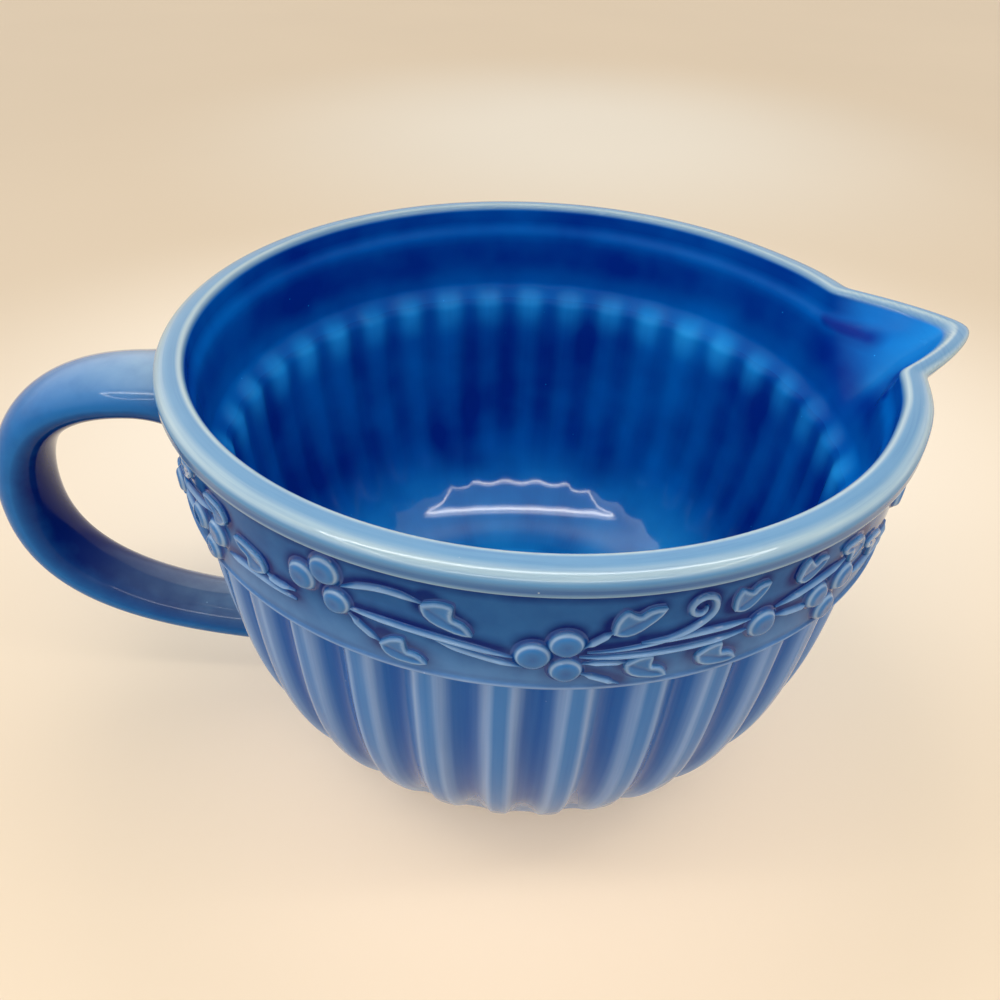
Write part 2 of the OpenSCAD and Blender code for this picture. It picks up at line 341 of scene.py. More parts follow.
@dataclass(frozen=True)
class Glaze:
    """A cobalt glaze: pale where it runs thin over an edge and where light is painted in, deep where it
    pools in a hollow and where shade is painted in.

    Args:
        slot: The record's slot for it.
        outer: Its colours outside the bowl.
        inner: Its colours inside the bowl, where it lies thicker.
        streak: The way that its streaks run.
        roughness: How dull its surface is outside.
        ior: How strongly its surface mirrors outside.
        streak_share: How strong the streaks are.
        pool_dull: How much duller its surface is where it pools.
        gloss: How strongly a clear coat shines where it is thin.
    """

    slot: Slot
    outer: Colours
    inner: Colours | None = None
    streak: Streak = Streak.CLOUD
    roughness: float = 0.06
    ior: float = 1.45
    streak_share: float = 0.8
    pool_dull: float = 0.0
    gloss: float = 0.0
    gloss_ior: float = 1.5
    gloss_roughness: float = 0.04
    inner_roughness: tuple[float, float] = (0.12, 0.26)
    inner_heights: tuple[float, float] = (30 * MM, 70 * MM)
    inner_ior: float = 1.15
    wet_ior: float = 1.65
    wet_roughness: float = 0.08
    inner_drift: float = 3.2
    inner_streak_share: float = 0.15
    wet_heights: tuple[float, float, float, float] = (10 * MM, 14 * MM, 30 * MM, 44 * MM)
    cloud_scale: float = 24.0
    cloud_detail: float = 3.0
    cloud_share: float = 0.55
    streak_detail: float = 4.0
    streak_dull: float = 0.04
    pool_drift: float = 0.6
    speck_scale: float = 420.0
    speck_reach: tuple[float, float] = (0.12, 0.04)
    speck_from: float = 0.985
    speck_share: float = 0.7
    ripple_scale: float = 110.0
    ripple_strength: float = 0.12
    ripple_height: float = 0.25 * MM

    def material(self) -> bpy.types.Material:
        """Makes the finish.

        Returns:
            A material that reads where the glaze is pale, from thin glaze and painted light, where it is
            dark, from pooled glaze and painted shade, and where it is inside the bowl.
        """
        made = bpy.data.materials.new(self.slot.value)
        tree = blank_tree(made)
        place_at = tree.wire("ShaderNodeTexCoord", "Object")
        clouds = tree.noise(place_at, self.cloud_scale, self.cloud_detail) - 0.5
        streaks = tree.noise(self._streak_place(tree, place_at), 1.0, self.streak_detail)
        wave = streaks - 0.5
        kept = [{"attribute_type": "GEOMETRY", "attribute_name": name} for name in (THIN_AND_LIT, POOL_AND_SHADE, INNER)]
        thin, pool, inside = (tree.wire("ShaderNodeAttribute", "Fac", settings) for settings in kept)
        ripples = tree.noise(place_at, self.ripple_scale, 1.0)
        bump = tree.relief(self.ripple_strength, self.ripple_height, ripples)
        specks = self._specks(tree, place_at)
        drift = clouds * self.cloud_share + wave * self.streak_share
        colour = self._depth(tree, self.outer, (thin, pool), drift, specks)
        rough = self.roughness + streaks * self.streak_dull + pool * self.pool_dull
        inputs = {"Base Color": colour, "Roughness": rough, "Normal": bump, "IOR": self.ior}
        if self.gloss:
            inputs |= {"Coat Weight": tree.clamp(thin * self.gloss)}
            inputs |= {"Coat IOR": self.gloss_ior, "Coat Roughness": self.gloss_roughness}
        shader = tree.surface(inputs)
        if self.inner is not None:
            calm = clouds * self.inner_drift + wave * self.inner_streak_share
            height = tree.split(place_at)[2]
            dull = tree.choose(*self.inner_roughness, tree.ease(*self.inner_heights, height))
            low, full, worn, top = self.wet_heights
            wet = tree.ease(low, full, height) * tree.ease(top, worn, height)
            colour = self._depth(tree, self.inner, (thin, pool), calm, specks)
            inputs = {"Base Color": colour, "Roughness": dull, "Normal": bump, "IOR": self.inner_ior}
            inputs |= {"Coat Weight": wet, "Coat IOR": self.wet_ior, "Coat Roughness": self.wet_roughness}
            both = {0: inside, 1: shader, 2: tree.surface(inputs)}
            shader = tree.wire("ShaderNodeMixShader", 0, None, both)
        tree.node("ShaderNodeOutputMaterial", None, {"Surface": shader})
        return made

    def _depth(
        self, tree: NodeTree, colours: Colours, kept: tuple[Wire, Wire], drift: Wire, specks: Wire
    ) -> Wire:
        """Colours the glaze by its depth.

        Args:
            tree: The finish's tree.
            colours: The glaze's colours.
            kept: Where it is pale, from thin glaze and painted light, and where it is dark, from pooled
                glaze and painted shade.
            drift: How its depth drifts from place to place.
            specks: Small pale specks in it.

        Returns:
            The colour's wire.
        """
        pale = tree.clamp(tree.clamp(kept[0] - drift * kept[0]) + specks)
        dark = tree.clamp(kept[1] + drift * self.pool_drift)
        return tree.tint(tree.tint(colours.body, colours.deep, dark), colours.thin, pale)

    def _streak_place(self, tree: NodeTree, place: Wire) -> Wire:
        """Stretches the place along the streaks."""
        round_scale, up_scale = self.streak.value
        x, y, z = tree.split(place)
        radius = tree.math("SQRT", x * x + y * y)
        if self.streak is Streak.CLOUD:
            return tree.vector(x * up_scale, y * up_scale, z * up_scale)
        if self.streak is Streak.ROUND:
            return tree.vector(radius * up_scale, z * up_scale, x / radius * round_scale)
        return tree.vector(x / radius * round_scale, y / radius * round_scale, z * up_scale)

    def _specks(self, tree: NodeTree, place: Wire) -> Wire:
        """Gives a few small pale specks in the glaze."""
        cells = tree.node("ShaderNodeTexVoronoi", None, {"Vector": place, "Scale": self.speck_scale})
        near = tree.ease(*self.speck_reach, Wire(tree, cells.outputs["Distance"]))
        chance = tree.split(Wire(tree, cells.outputs["Color"]))[0] > self.speck_from
        return near * chance * self.speck_share


@dataclass(frozen=True)
class BareClay:
    """Fired stoneware without glaze, buff with darker grains.

    Args:
        body: The clay's colour.
        grain: The colour of its grains.
    """

    body: Colour = (0.55, 0.44, 0.31)
    grain: Colour = (0.27, 0.19, 0.12)
    patch_scale: float = 60.0
    grain_scale: float = 900.0
    grain_edge: tuple[float, float] = (0.56, 0.74)
    grain_share: float = 0.7
    patch_share: float = 0.4
    roughness: float = 0.72
    patch_dull: float = 0.15
    grain_relief: float = 0.35
    grain_height: float = 0.2 * MM

    def material(self) -> bpy.types.Material:
        """Makes the finish.

        Returns:
            A dull, grainy material.
        """
        made = bpy.data.materials.new(Slot.CLAY.value)
        tree = blank_tree(made)
        place_at = tree.wire("ShaderNodeTexCoord", "Object")
        patches = tree.noise(place_at, self.patch_scale, 4.0)
        grains = tree.noise(place_at, self.grain_scale)
        dark = tree.ease(*self.grain_edge, grains) * self.grain_share + (patches - 0.5) * self.patch_share
        inputs = {
            "Base Color": tree.tint(self.body, self.grain, tree.clamp(dark)),
            "Roughness": self.roughness + patches * self.patch_dull,
            "Normal": tree.relief(self.grain_relief, self.grain_height, grains),
        }
        tree.node("ShaderNodeOutputMaterial", None, {"Surface": tree.surface(inputs)})
        return made


class Outline:
    """An outline in radius and height, drawn from point to point."""

    def __init__(self, radius: float, height: float) -> None:
        """Starts at a point."""
        self.points: list[tuple[float, float]] = [(radius, height)]

    def line(self, radius: float, height: float, steps: int = 1) -> Outline:
        """Draws a straight line in equal steps."""
        halfway = [(a + b) / 2 for a, b in zip(self.points[-1], (radius, height))]
        return self.bend(*halfway, radius, height, steps)

    def bend(self, r1: float, z1: float, r2: float, z2: float, steps: int = 8) -> Outline:
        """Draws a curve towards one point and on to the next.

        Args:
            r1: Radius of the point that draws the curve.
            z1: Height of that point.
            r2: Radius of the end.
            z2: Height of the end.
            steps: Number of steps.

        Returns:
            The outline itself.
        """
        r0, z0 = self.points[-1]
        for i in range(1, steps + 1):
            t = i / steps
            a, b, c = (1 - t) ** 2, 2 * t * (1 - t), t * t
            self.points.append((a * r0 + b * r1 + c * r2, a * z0 + b * z1 + c * z2))
        return self

    def array(self) -> np.ndarray:
        """Gives the points as rows of radius and height."""
        return np.array(self.points)


def smooth(low: float, high: float, value: np.ndarray) -> np.ndarray:
    """Rises smoothly from 0 at low to 1 at high."""
    t = np.clip((value - low) / (high - low), 0.0, 1.0)
    return t * t * (3.0 - 2.0 * t)


def bump_at(value: np.ndarray, centre: float, width: float) -> np.ndarray:
    """Gives a soft bump of height 1 at a centre."""
    return np.exp(-(((value - centre) / width) ** 2))


def full_turn(count: int) -> np.ndarray:
    """Spreads angles evenly round a full turn."""
    return np.linspace(0.0, math.tau, count, endpoint=False)


def wrapped(angles: np.ndarray) -> np.ndarray:
    """Brings angles within half a turn of 0."""
    return (angles + math.pi) % math.tau - math.pi


def fine_ends(values: np.ndarray, hair: float) -> np.ndarray:
    """Adds a value a hair from each end of a row."""
    return np.concatenate([[values[0], values[0] + hair], values[1:-1], [values[-1] - hair, values[-1]]])


def bezier(points: Sequence[Sequence[float]], t: np.ndarray) -> np.ndarray:
    """Gives points on a Bezier curve of any degree.

    Args:
        points: The points that draw the curve.
        t: Places along it, from 0 to 1.

    Returns:
        One row for each place.
    """
    rows = [np.outer(np.ones_like(t), p) for p in points]
    while len(rows) > 1:
        rows = [a + (b - a) * t[:, None] for a, b in zip(rows, rows[1:])]
    return rows[0]


def turned(section: np.ndarray, angles: np.ndarray) -> np.ndarray:
    """Turns a section of radius and height about the axis.

    Args:
        section: Rows of radius and height.
        angles: The angles to turn it to.

    Returns:
        One ring of points for each angle.
    """
    r, z = section[:, 0], section[:, 1]
    return np.stack([np.stack([r * math.cos(a), r * math.sin(a), z], axis=1) for a in angles])


def loft(name: str, rings: np.ndarray, closed: bool) -> bpy.types.Mesh:
    """Joins closed rings of points in one closed mesh.

    Args:
        name: The mesh's name.
        rings: Rings of points, all with as many points.
        closed: True where the last ring joins the first, and False for two flat ends.

    Returns:
        The mesh, with its faces outwards.
    """
    count, size = rings.shape[:2]
    index = np.arange(count * size).reshape(count, size)
    last = index if closed else index[:-1]
    after = np.roll(index, -1, axis=0) if closed else index[1:]
    quads = np.stack([last, after, np.roll(after, -1, axis=1), np.roll(last, -1, axis=1)], axis=-1)
    faces = quads.reshape(-1, 4).tolist()
    if not closed:
        faces += [index[0].tolist(), index[-1][::-1].tolist()]
    mesh = bpy.data.meshes.new(name)
    mesh.from_pydata(rings.reshape(-1, 3).tolist(), [], faces)
    outwards(mesh)
    return mesh


def outwards(mesh: bpy.types.Mesh) -> None:
    """Turns a closed mesh's faces outwards."""
    work = bmesh.new()
    work.from_mesh(mesh)
    bmesh.ops.recalc_face_normals(work, faces=work.faces)
    work.to_mesh(mesh)
    work.free()


def keep(mesh: bpy.types.Mesh, name: str, values: np.ndarray) -> None:
    """Keeps a value on every point of a mesh under a name."""
    made = mesh.attributes.new(name, "FLOAT", "POINT")
    made.data.foreach_set("value", np.ascontiguousarray(values, dtype=np.float32).ravel())


def place(
    mesh: bpy.types.Mesh,
    name: str,
    slot: Slot,
    glaze: bpy.types.Material | None = None,
) -> None:
    """Puts a finished mesh in the scene as a piece of the object.

    Args:
        mesh: The mesh, in the solids' frame.
        name: The solid that it stands for, from which it gets its name.
        slot: The record's slot for its finish, which here only decides whether the piece's name ends in
            bare or glazed.
        glaze: Its finish, where the mesh doesn't have it yet.
    """
    if glaze is not None:
        mesh.materials.clear()
        mesh.materials.append(glaze)
    mesh.shade_smooth()
    mesh.set_sharp_from_angle(angle=SHARP_ANGLE)
    piece = add_object(f"{name}_{'bare' if slot is Slot.CLAY else 'glazed'}", mesh)
    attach(piece, BODY)
    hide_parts(name)
    LOG.info("%s: %d faces", name, len(mesh.polygons))


@dataclass(frozen=True)
class BowlForm:
    """The bowl's main sizes, which its pieces share."""

    rim_r: float
    rim_inner_r: float
    rim_z: float
    top_z: float
    band_r: float
    band_inner_r: float
    wall_top_z: float
    wall_top_r: float
    floor_z: float
    foot_z: float
    base_r: float = 61.2 * MM
    wall_flare: float = 1.7 * MM
    wall_power: float = 3.2
    flare_power: float = 3.0

    @classmethod
    def from_frame(cls) -> BowlForm:
        """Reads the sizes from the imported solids.

        Returns:
            The sizes, with a few that no box gives.
        """
        rim_low, rim_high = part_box("rim_bead")
        band_low, band_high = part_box("frieze_band")
        rim_w, lip_out, band_t, wall_step = 7.7 * MM, 0.5 * MM, 6.5 * MM, 2.3 * MM
        band_r = band_high.y - lip_out
        return cls(
            rim_r=rim_high.y,
            rim_inner_r=rim_high.y - rim_w,
            rim_z=rim_low.z,
            top_z=rim_high.z,
            band_r=band_r,
            band_inner_r=band_r - band_t,
            wall_top_z=band_low.z,
            wall_top_r=band_r - wall_step,
            floor_z=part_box("fluted_wall")[0].z,
            foot_z=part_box("foot_ring")[1].z,
        )

    @property
    def wall_swell(self) -> float:
        """How far the wall swells out from its base."""
        return self.wall_top_r - self.base_r - self.wall_flare

    def wall_r(self, z: np.ndarray | Wire | float) -> np.ndarray | Wire | float:
        """Gives the wall's radius at a ridge at a height, on numbers or on wires."""
        share = z / self.wall_top_z
        rise = (1.0 - share) ** self.wall_power
        return self.base_r + self.wall_swell * (1.0 - rise) + self.wall_flare * share**self.flare_power


@dataclass(frozen=True)
class FootAndFloor:
    """The bare foot ring and the glazed floor on it."""

    form: BowlForm
    foot_w: float = 9 * MM
    edge_round: float = 0.9 * MM
    under_dome: float = 0.8 * MM
    dome_share: float = 0.7
    floor_painted_light: float = 0.75
    middle_painted_light: float = 0.15
    middle_r: float = 30 * MM
    turns: int = 240

    def build(self, clay: bpy.types.Material, glaze: bpy.types.Material) -> None:
        """Makes both pieces."""
        angles = full_turn(self.turns)
        ring = turned(self._foot_outline(), angles)
        place(loft("foot_ring", ring, True), "foot_ring", Slot.CLAY, clay)
        section = self._floor_outline()
        floor = loft("bowl_floor", turned(section, angles), True)
        r = np.tile(section[:, 0], self.turns)
        z = np.tile(section[:, 1], self.turns)
        inside = z > self.form.floor_z - MM
        # The inner floor is painted pale, most in the middle: painted light falling from above.
        keep(floor, THIN_AND_LIT, (self.floor_painted_light + self.middle_painted_light * bump_at(r, 0.0, self.middle_r)) * inside)
        keep(floor, POOL_AND_SHADE, np.zeros_like(r))
        keep(floor, INNER, inside)
        place(floor, "bowl_floor", Slot.WALL, glaze)

    def _foot_outline(self) -> np.ndarray:
        """Draws the foot's section, with its lower edges rounded."""
        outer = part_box("foot_ring")[1].y
        inner, top, e = outer - self.foot_w, self.form.foot_z, 2 * self.edge_round
        drawn = Outline(inner, top).line(inner, e, 3).bend(inner, 0.0, inner + e, 0.0)
        drawn.line(outer - e, 0.0, 4).bend(outer, 0.0, outer, e).line(outer, top, 3)
        return drawn.line(inner, top, 4).array()[:-1]

    def _floor_outline(self) -> np.ndarray:
        """Draws the floor's section, domed a little underneath."""
        form, hole = self.form, 1e-4
        low, top = form.foot_z, form.floor_z
        edge, rounded_z = form.wall_r(low), low + self.edge_round
        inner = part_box("foot_ring")[1].y - self.foot_w
        drawn = Outline(hole, low + self.under_dome)
        drawn.bend(inner * self.dome_share, low + self.under_dome, inner, low, 10)
        drawn.line(edge - self.edge_round, low, 4).bend(edge, low, form.wall_r(rounded_z), rounded_z)
        drawn.line(form.wall_r(top), top, 3).line(hole, top, 24)
        return drawn.array()


@dataclass(frozen=True)
class FlutedWall:
    """The wall: flutes outside, soft lobes inside, a cove at the floor and a shoulder under the band.

    The names that end in thin or pool say how strongly the glaze does so there. Those that end in
    painted_highlight, painted_light or painted_reflection say how strongly light is painted in as pale
    glaze, edge_thin_and_reflection gives thin glaze and a painted reflection together on the ridges' edges,
    and those that end in lift say how much that painted light takes off the pooled glaze. Those that end in
    zone give the shares of the height between which it changes.
    """

    form: BowlForm
    flute_count: int = 36
    flute_depth: float = 3 * MM
    ridge_share: float = 0.33
    ridge_phase: float = math.radians(1)
    edge_round: float = 0.2
    lobe_round: float = 0.6
    wall_t: float = 8 * MM
    floor_r: float = 47.5 * MM
    cove_h: float = 22 * MM
    lobe_depth: float = 1.2 * MM
    ledge_under: float = 3 * MM
    ledge_over: float = 5.5 * MM
    run_out: float = 4.5 * MM
    start_h: float = 14 * MM
    foot_reflection_h: float = 34 * MM
    handle_z: float = 24 * MM
    handle_clear_w: float = 24 * MM
    handle_clear_h: float = 19 * MM
    handle_clear_from: float = 0.45
    edge_thin_and_reflection: float = 0.55
    foot_painted_reflection: float = 0.62
    hollow_pool: float = 0.95
    foot_reflection_lift: float = 0.9
    lobe_zone: tuple[float, float] = (0.08, 0.45)
    crown_zone: tuple[float, float] = (0.84, 1.0)
    crown_painted_highlight: float = 0.55
    cove_light_zone: tuple[float, float] = (0.36, 0.05)
    cove_painted_light: float = 0.6
    inner_pool: float = 0.9
    lobe_pool: float = 0.3
    crown_highlight_lift: float = 0.3
    cove_lift_zone: tuple[float, float] = (0.5, 0.12)
    cove_light_lift: float = 0.7
    columns: int = 20
    outer_rows: int = 64
    inner_rows: int = 56
    wander: float = 0.3
    wander_round: float = 9.0
    wander_up: float = 4.0
    weld: float = 1e-6
    crowding: float = 0.7
    crowd_at: float = 0.4

    def build(self, glaze: bpy.types.Material) -> None:
        """Makes the piece."""
        tree = GeometryTree("fluted_wall")
        around = self.flute_count * self.columns
        rows = self.outer_rows + self.inner_rows + 2
        sizes = {"Size X": 1.0, "Size Y": 1.0, "Vertices X": around + 1, "Vertices Y": rows + 1}
        grid = tree.wire("GeometryNodeMeshGrid", "Mesh", None, sizes)
        x, y, _ = tree.split(tree.wire("GeometryNodeInputPosition"))
        angle, flute = self._across(tree, x + 0.5)
        row = (y + 0.5) * float(rows)
        noise = tree.noise(tree.around(angle, self.wander_round, y * self.wander_up), 1.0)
        flute = flute * (1.0 + (noise - 0.5) * self.wander)
        inside = (row > self.outer_rows + 0.5) * (1.0 - (row > rows - 0.5))
        outer, outer_form = self._outer(tree, row, rows, angle, flute)
        inner, inner_form = self._inner(tree, row, flute)
        radius, height = (tree.choose(a, b, inside) for a, b in zip(outer, inner))
        thin, pool = (tree.choose(a, b, inside) for a, b in zip(outer_form, inner_form))
        for name, value in ((THIN_AND_LIT, thin), (POOL_AND_SHADE, pool), (INNER, inside)):
            grid = tree.store(grid, name, value)
        shell = tree.moved(grid, tree.around(angle, radius, height))
        inputs = {"Geometry": shell, "Distance": self.weld}
        joined = tree.wire("GeometryNodeMergeByDistance", 0, None, inputs)
        mesh = tree.bake(joined, glaze, bpy.data.meshes.new("fluted_wall"))
        place(mesh, "fluted_wall", Slot.WALL)

    def _across(self, tree: GeometryTree, share: Wire) -> tuple[Wire, Wire]:
        """Spreads the columns, crowded at the edges of the ridges.

        Args:
            tree: The wall's tree.
            share: Share of the way round.

        Returns:
            The column's angle, and its place across its flute: 0 in the middle, 1 at the ridge's edge.
        """
        count = tree.size("Flutes", float(self.flute_count))
        ridge = tree.size("Ridge share", self.ridge_share)
        phase = tree.size("Ridge phase", self.ridge_phase)
        along = share * count
        ridge_index = tree.math("ROUND", along)
        off = along - ridge_index
        half = tree.math("ABSOLUTE", off) * 2.0
        wave = tree.math("SINE", (half - self.crowd_at) * math.tau) + math.sin(math.tau * self.crowd_at)
        spread = half - wave * (self.crowding / math.tau)
        angle = (ridge_index + tree.math("SIGN", off) * spread * 0.5) * math.tau / count + phase
        return angle, (1.0 - spread) / (1.0 - ridge)

    def _hollow(self, tree: GeometryTree, flute: Wire, softness: float) -> tuple[Wire, Wire]:
        """Gives a flute's hollow, 1 in its middle, and how near the ridge's rounded edge is."""
        rise = 1.0 - flute * flute
        hollow = (rise + tree.math("SQRT", rise * rise + softness**2)) * 0.5
        return hollow, 1.0 - tree.ease(0.0, 4.0 * softness, tree.math("ABSOLUTE", rise))

    def _outer(
        self, tree: GeometryTree, row: Wire, rows: int, angle: Wire, flute: Wire
    ) -> tuple[tuple[Wire, Wire], tuple[Wire, Wire]]:
        """Shapes the outside.

        Args:
            tree: The wall's tree.
            row: Number of the row.
            rows: Number of rows in all, of which the last closes on the first.
            angle: The column's angle.
            flute: The column's place across its flute.

        Returns:
            The radius and height, and where the glaze is pale, from thin glaze and a painted reflection on
            the ridges' edges and a painted reflection at the foot, and where it pools.
        """
        low = tree.size("Floor height", self.form.floor_z)
        top = tree.size("Top height", self.form.wall_top_z)
        depth = tree.size("Flute depth", self.flute_depth)
        share = tree.ease(0.0, 1.0, row / float(self.outer_rows)) * (1.0 - (row > rows - 0.5))
        z = low + (top - low) * share
        up = 1.0 - tree.clamp((top - z) / self.run_out)
        fade = tree.math("SQRT", 1.0 - up * up) * tree.ease(low, low + self.start_h, z)
        reach = self.form.wall_r(self.handle_z)
        beside = (math.pi - tree.math("ABSOLUTE", tree.math("WRAP", angle, math.pi, -math.pi))) * reach
        across, away = beside / self.handle_clear_w, (z - self.handle_z) / self.handle_clear_h
        apart = tree.math("SQRT", across * across + away * away)
        fade = fade * tree.ease(self.handle_clear_from, 1.0, apart)
        hollow, edge = self._hollow(tree, flute, self.edge_round)
        radius = self.form.wall_r(z) - depth * hollow * fade
        # Painted reflection of the floor: the foot is painted pale and less pooled. The ridges' edges run
        # thin and also carry a painted reflection.
        foot = tree.ease(low + self.foot_reflection_h, low, z)
        thin = edge * fade * self.edge_thin_and_reflection + foot * self.foot_painted_reflection
        return (radius, z), (thin, hollow * fade * (self.hollow_pool - foot * self.foot_reflection_lift))

    def _inner(
        self, tree: GeometryTree, row: Wire, flute: Wire
    ) -> tuple[tuple[Wire, Wire], tuple[Wire, Wire]]:
        """Shapes the inside.

        Args:
            tree: The wall's tree.
            row: Number of the row.
            flute: The column's place across its lobe.

        Returns:
            The radius and height, and where the glaze is thin and pools.
        """
        form = self.form
        depth = tree.size("Lobe depth", self.lobe_depth)
        back = 1.0 - tree.clamp((row - (self.outer_rows + 1.0)) / float(self.inner_rows))
        smoother = {"interpolation_type": "SMOOTHERSTEP"}
        share = tree.wire("ShaderNodeMapRange", 0, smoother, {"Value": back})
        z = form.floor_z + (form.wall_top_z - form.floor_z) * share
        shoulder = tree.ease(form.wall_top_z - self.ledge_under, form.wall_top_z + self.ledge_over, z)
        plain = tree.choose(form.wall_r(z) - self.wall_t, form.band_inner_r, shoulder)
        toe = form.wall_r(form.floor_z) - self.wall_t - self.floor_r
        up = 1.0 - tree.clamp((z - form.floor_z) / self.cove_h)
        cove = (1.0 - tree.math("SQRT", 1.0 - up * up)) * toe
        fade = tree.ease(*self.lobe_zone, share) * (1.0 - shoulder)
        hollow, _ = self._hollow(tree, flute, self.lobe_round)
        swollen = tree.clamp(hollow) * fade
        # Painted highlights on the lobes' crowns and painted light in the cove, as pale glaze with less
        # pooling.
        crown = tree.ease(*self.crown_zone, share)
        thin = swollen * crown * self.crown_painted_highlight + tree.ease(*self.cove_light_zone, share) * self.cove_painted_light
        pool = self.inner_pool - swollen * self.lobe_pool - crown * self.crown_highlight_lift
        pool = pool - tree.ease(*self.cove_lift_zone, share) * self.cove_light_lift
        return (plain - cove - depth * hollow * fade, z), (thin, pool)

    def lobes(self, angles: np.ndarray) -> np.ndarray:
        """Says how swollen the inside is at angles, about 1 in the middle of a lobe."""
        along = (angles - self.ridge_phase) * self.flute_count / math.tau
        across = np.abs(along - np.round(along)) * 2.0
        rise = 1.0 - ((1.0 - across) / (1.0 - self.ridge_share)) ** 2
        return (rise + np.sqrt(rise**2 + self.lobe_round**2)) / 2

    def ledge_left(self, z: np.ndarray) -> np.ndarray:
        """Says how much is left, at heights above the wall, of the ledge that the lobes end in."""
        top = self.form.wall_top_z
        return 1.0 - smooth(top - self.ledge_under, top + self.ledge_over, z)

    def run_up(self, angles: np.ndarray, z: np.ndarray) -> np.ndarray:
        """Gives how far the ledge and the lobes run up on the band's inside, by angle and height."""
        plain = self.form.band_inner_r - self.form.wall_top_r + self.wall_t
        return np.outer(plain + self.lobe_depth * self.lobes(angles), self.ledge_left(z))


@dataclass(frozen=True)
class RimAndBand:
    """The plain band that carries the vine, the rolled rim on it and the spout that both run into.

    The names that end in thin or pool say how strongly the glaze does so there, and those that end in
    painted_shadow, painted_reflection or painted_highlight how strongly shade or light is painted in; those
    that end in lift say how much painted light takes off the pooled glaze, and the fold_shadow ones place a
    painted shadow in the spout. Those that end in zone give the heights over the wall, or from the rim's
    foot or top, between which it changes, and those that end in edge give how far in from the rim's side an
    edge lies and how wide it is.
    """

    form: BowlForm
    wall: FlutedWall
    lip_h: float = 1.6 * MM
    lip_out: float = 0.5 * MM
    edge_round: float = 0.7 * MM
    inner_slope_h: float = 6 * MM
    spout_half: float = math.radians(15)
    spout_seam: float = 1.45
    spout_reach: float = 22.5 * MM
    spout_rise: float = 0.3 * MM
    spout_drop: float = 28.5 * MM
    spout_power: float = 1.25
    spout_narrow: float = 0.45
    inner_narrow: float = 0.65
    fold_shadow_drop: float = 4 * MM
    fold_shadow_w: float = 2.8 * MM
    tip_round: float = 0.12
    corner_round: float = 0.08
    inner_round: float = 0.3
    shoulder_swell: float = 0.9 * MM
    shoulder_at: float = math.radians(22)
    shoulder_width: float = math.radians(8)
    crown_w: float = 2.3 * MM
    crown_pull: float = 2.39 * MM
    knee_w: float = 0.9 * MM
    knee_drop: float = 1.25 * MM
    side_drop: float = 3 * MM
    side_pull: float = 2 * MM
    inner_drop: float = 2.4 * MM
    lip_thin: float = 0.55
    low_thin: float = 0.15
    low_thin_zone: tuple[float, float] = (14 * MM, 2 * MM)
    lip_pool: float = 0.3
    high_pool: float = 0.35
    high_pool_zone: tuple[float, float] = (8 * MM, 20 * MM)
    under_rim_painted_shadow: float = 0.8
    under_rim_shadow_zone: tuple[float, float] = (-6 * MM, -1.5 * MM)
    lobe_painted_highlight: float = 0.55
    lobe_pool: float = 0.3
    inside_pool: float = 0.85
    slope_painted_reflection: float = 0.4
    low_light_lift: float = 0.45
    low_light_zone: tuple[float, float] = (15 * MM, 5 * MM)
    rim_side_w: float = 2 * MM
    rim_inside_w: float = 1 * MM
    rim_top_zone: tuple[float, float] = (-2.4 * MM, -1.2 * MM)
    rim_outside_zone: tuple[float, float] = (-2.2 * MM, -3.8 * MM)
    rim_inside_zone: tuple[float, float] = (-1.0 * MM, -2.2 * MM)
    inner_edge: tuple[float, float] = (1.2 * MM, 0.7 * MM)
    outer_edge: tuple[float, float] = (1.2 * MM, 1.7 * MM)
    low_edge: tuple[float, float] = (0.3 * MM, 0.5 * MM)
    inner_edge_thin: float = 0.95
    outer_edge_thin: float = 0.8
    low_edge_painted_reflection: float = 0.35
    rim_top_thin: float = 0.12
    rim_pool: float = 0.8
    band_steps: int = 1000
    rim_steps: int = 720
    spout_steps: int = 180
    spout_hair: float = 0.002
    throat_zone: tuple[float, float] = (0.02, 0.35)
    throat_painted_reflection: float = 0.1
    throat_reflection_lift: float = 0.8
    trough_w: float = 0.25
    trough_painted_highlight: float = 0.3
    fold_shadow_start: tuple[float, float] = (0.2, 0.5)
    fold_shadow_end: tuple[float, float] = (1.35, 1.05)

    def build(self, vine: Vine, band_glaze: bpy.types.Material, rim_glaze: bpy.types.Material) -> None:
        """Makes the three pieces."""
        self._build_band(vine, band_glaze)
        self._build_rim(rim_glaze)
        self._build_spout(band_glaze, rim_glaze)

    def band_outside(self) -> np.ndarray:
        """Draws the band's outside, from the foot of its lip to the rim."""
        form, lip = self.form, self.form.band_r + self.lip_out
        z0, third = form.wall_top_z, self.lip_h / 3
        drawn = Outline(lip - third, z0).bend(lip, z0, lip, z0 + third, 5).line(lip, z0 + 1.4 * third, 1)
        drawn.bend(lip, z0 + 2 * third, form.band_r + 0.3 * self.lip_out, z0 + 2.3 * third, 4)
        drawn.bend(form.band_r, z0 + 2.6 * third, form.band_r, z0 + 4 * third, 5)
        return drawn.line(form.band_r, form.rim_z, 44).array()

    def band_inside(self) -> np.ndarray:
        """Draws the band's inside, from the rim down to the wall."""
        form, (high, low) = self.form, (self.form.rim_inner_r, self.form.band_inner_r)
        first, second, third, last = (form.rim_z - self.inner_slope_h * i / 4 for i in range(1, 5))
        drawn = Outline(high, form.rim_z).bend(high, first, (high + low) / 2, second, 6)
        drawn.bend(low, third, low, last, 6)
        ledge_z = form.wall_top_z + self.wall.ledge_over
        return drawn.line(low, ledge_z, 8).line(low, form.wall_top_z, 10).array()

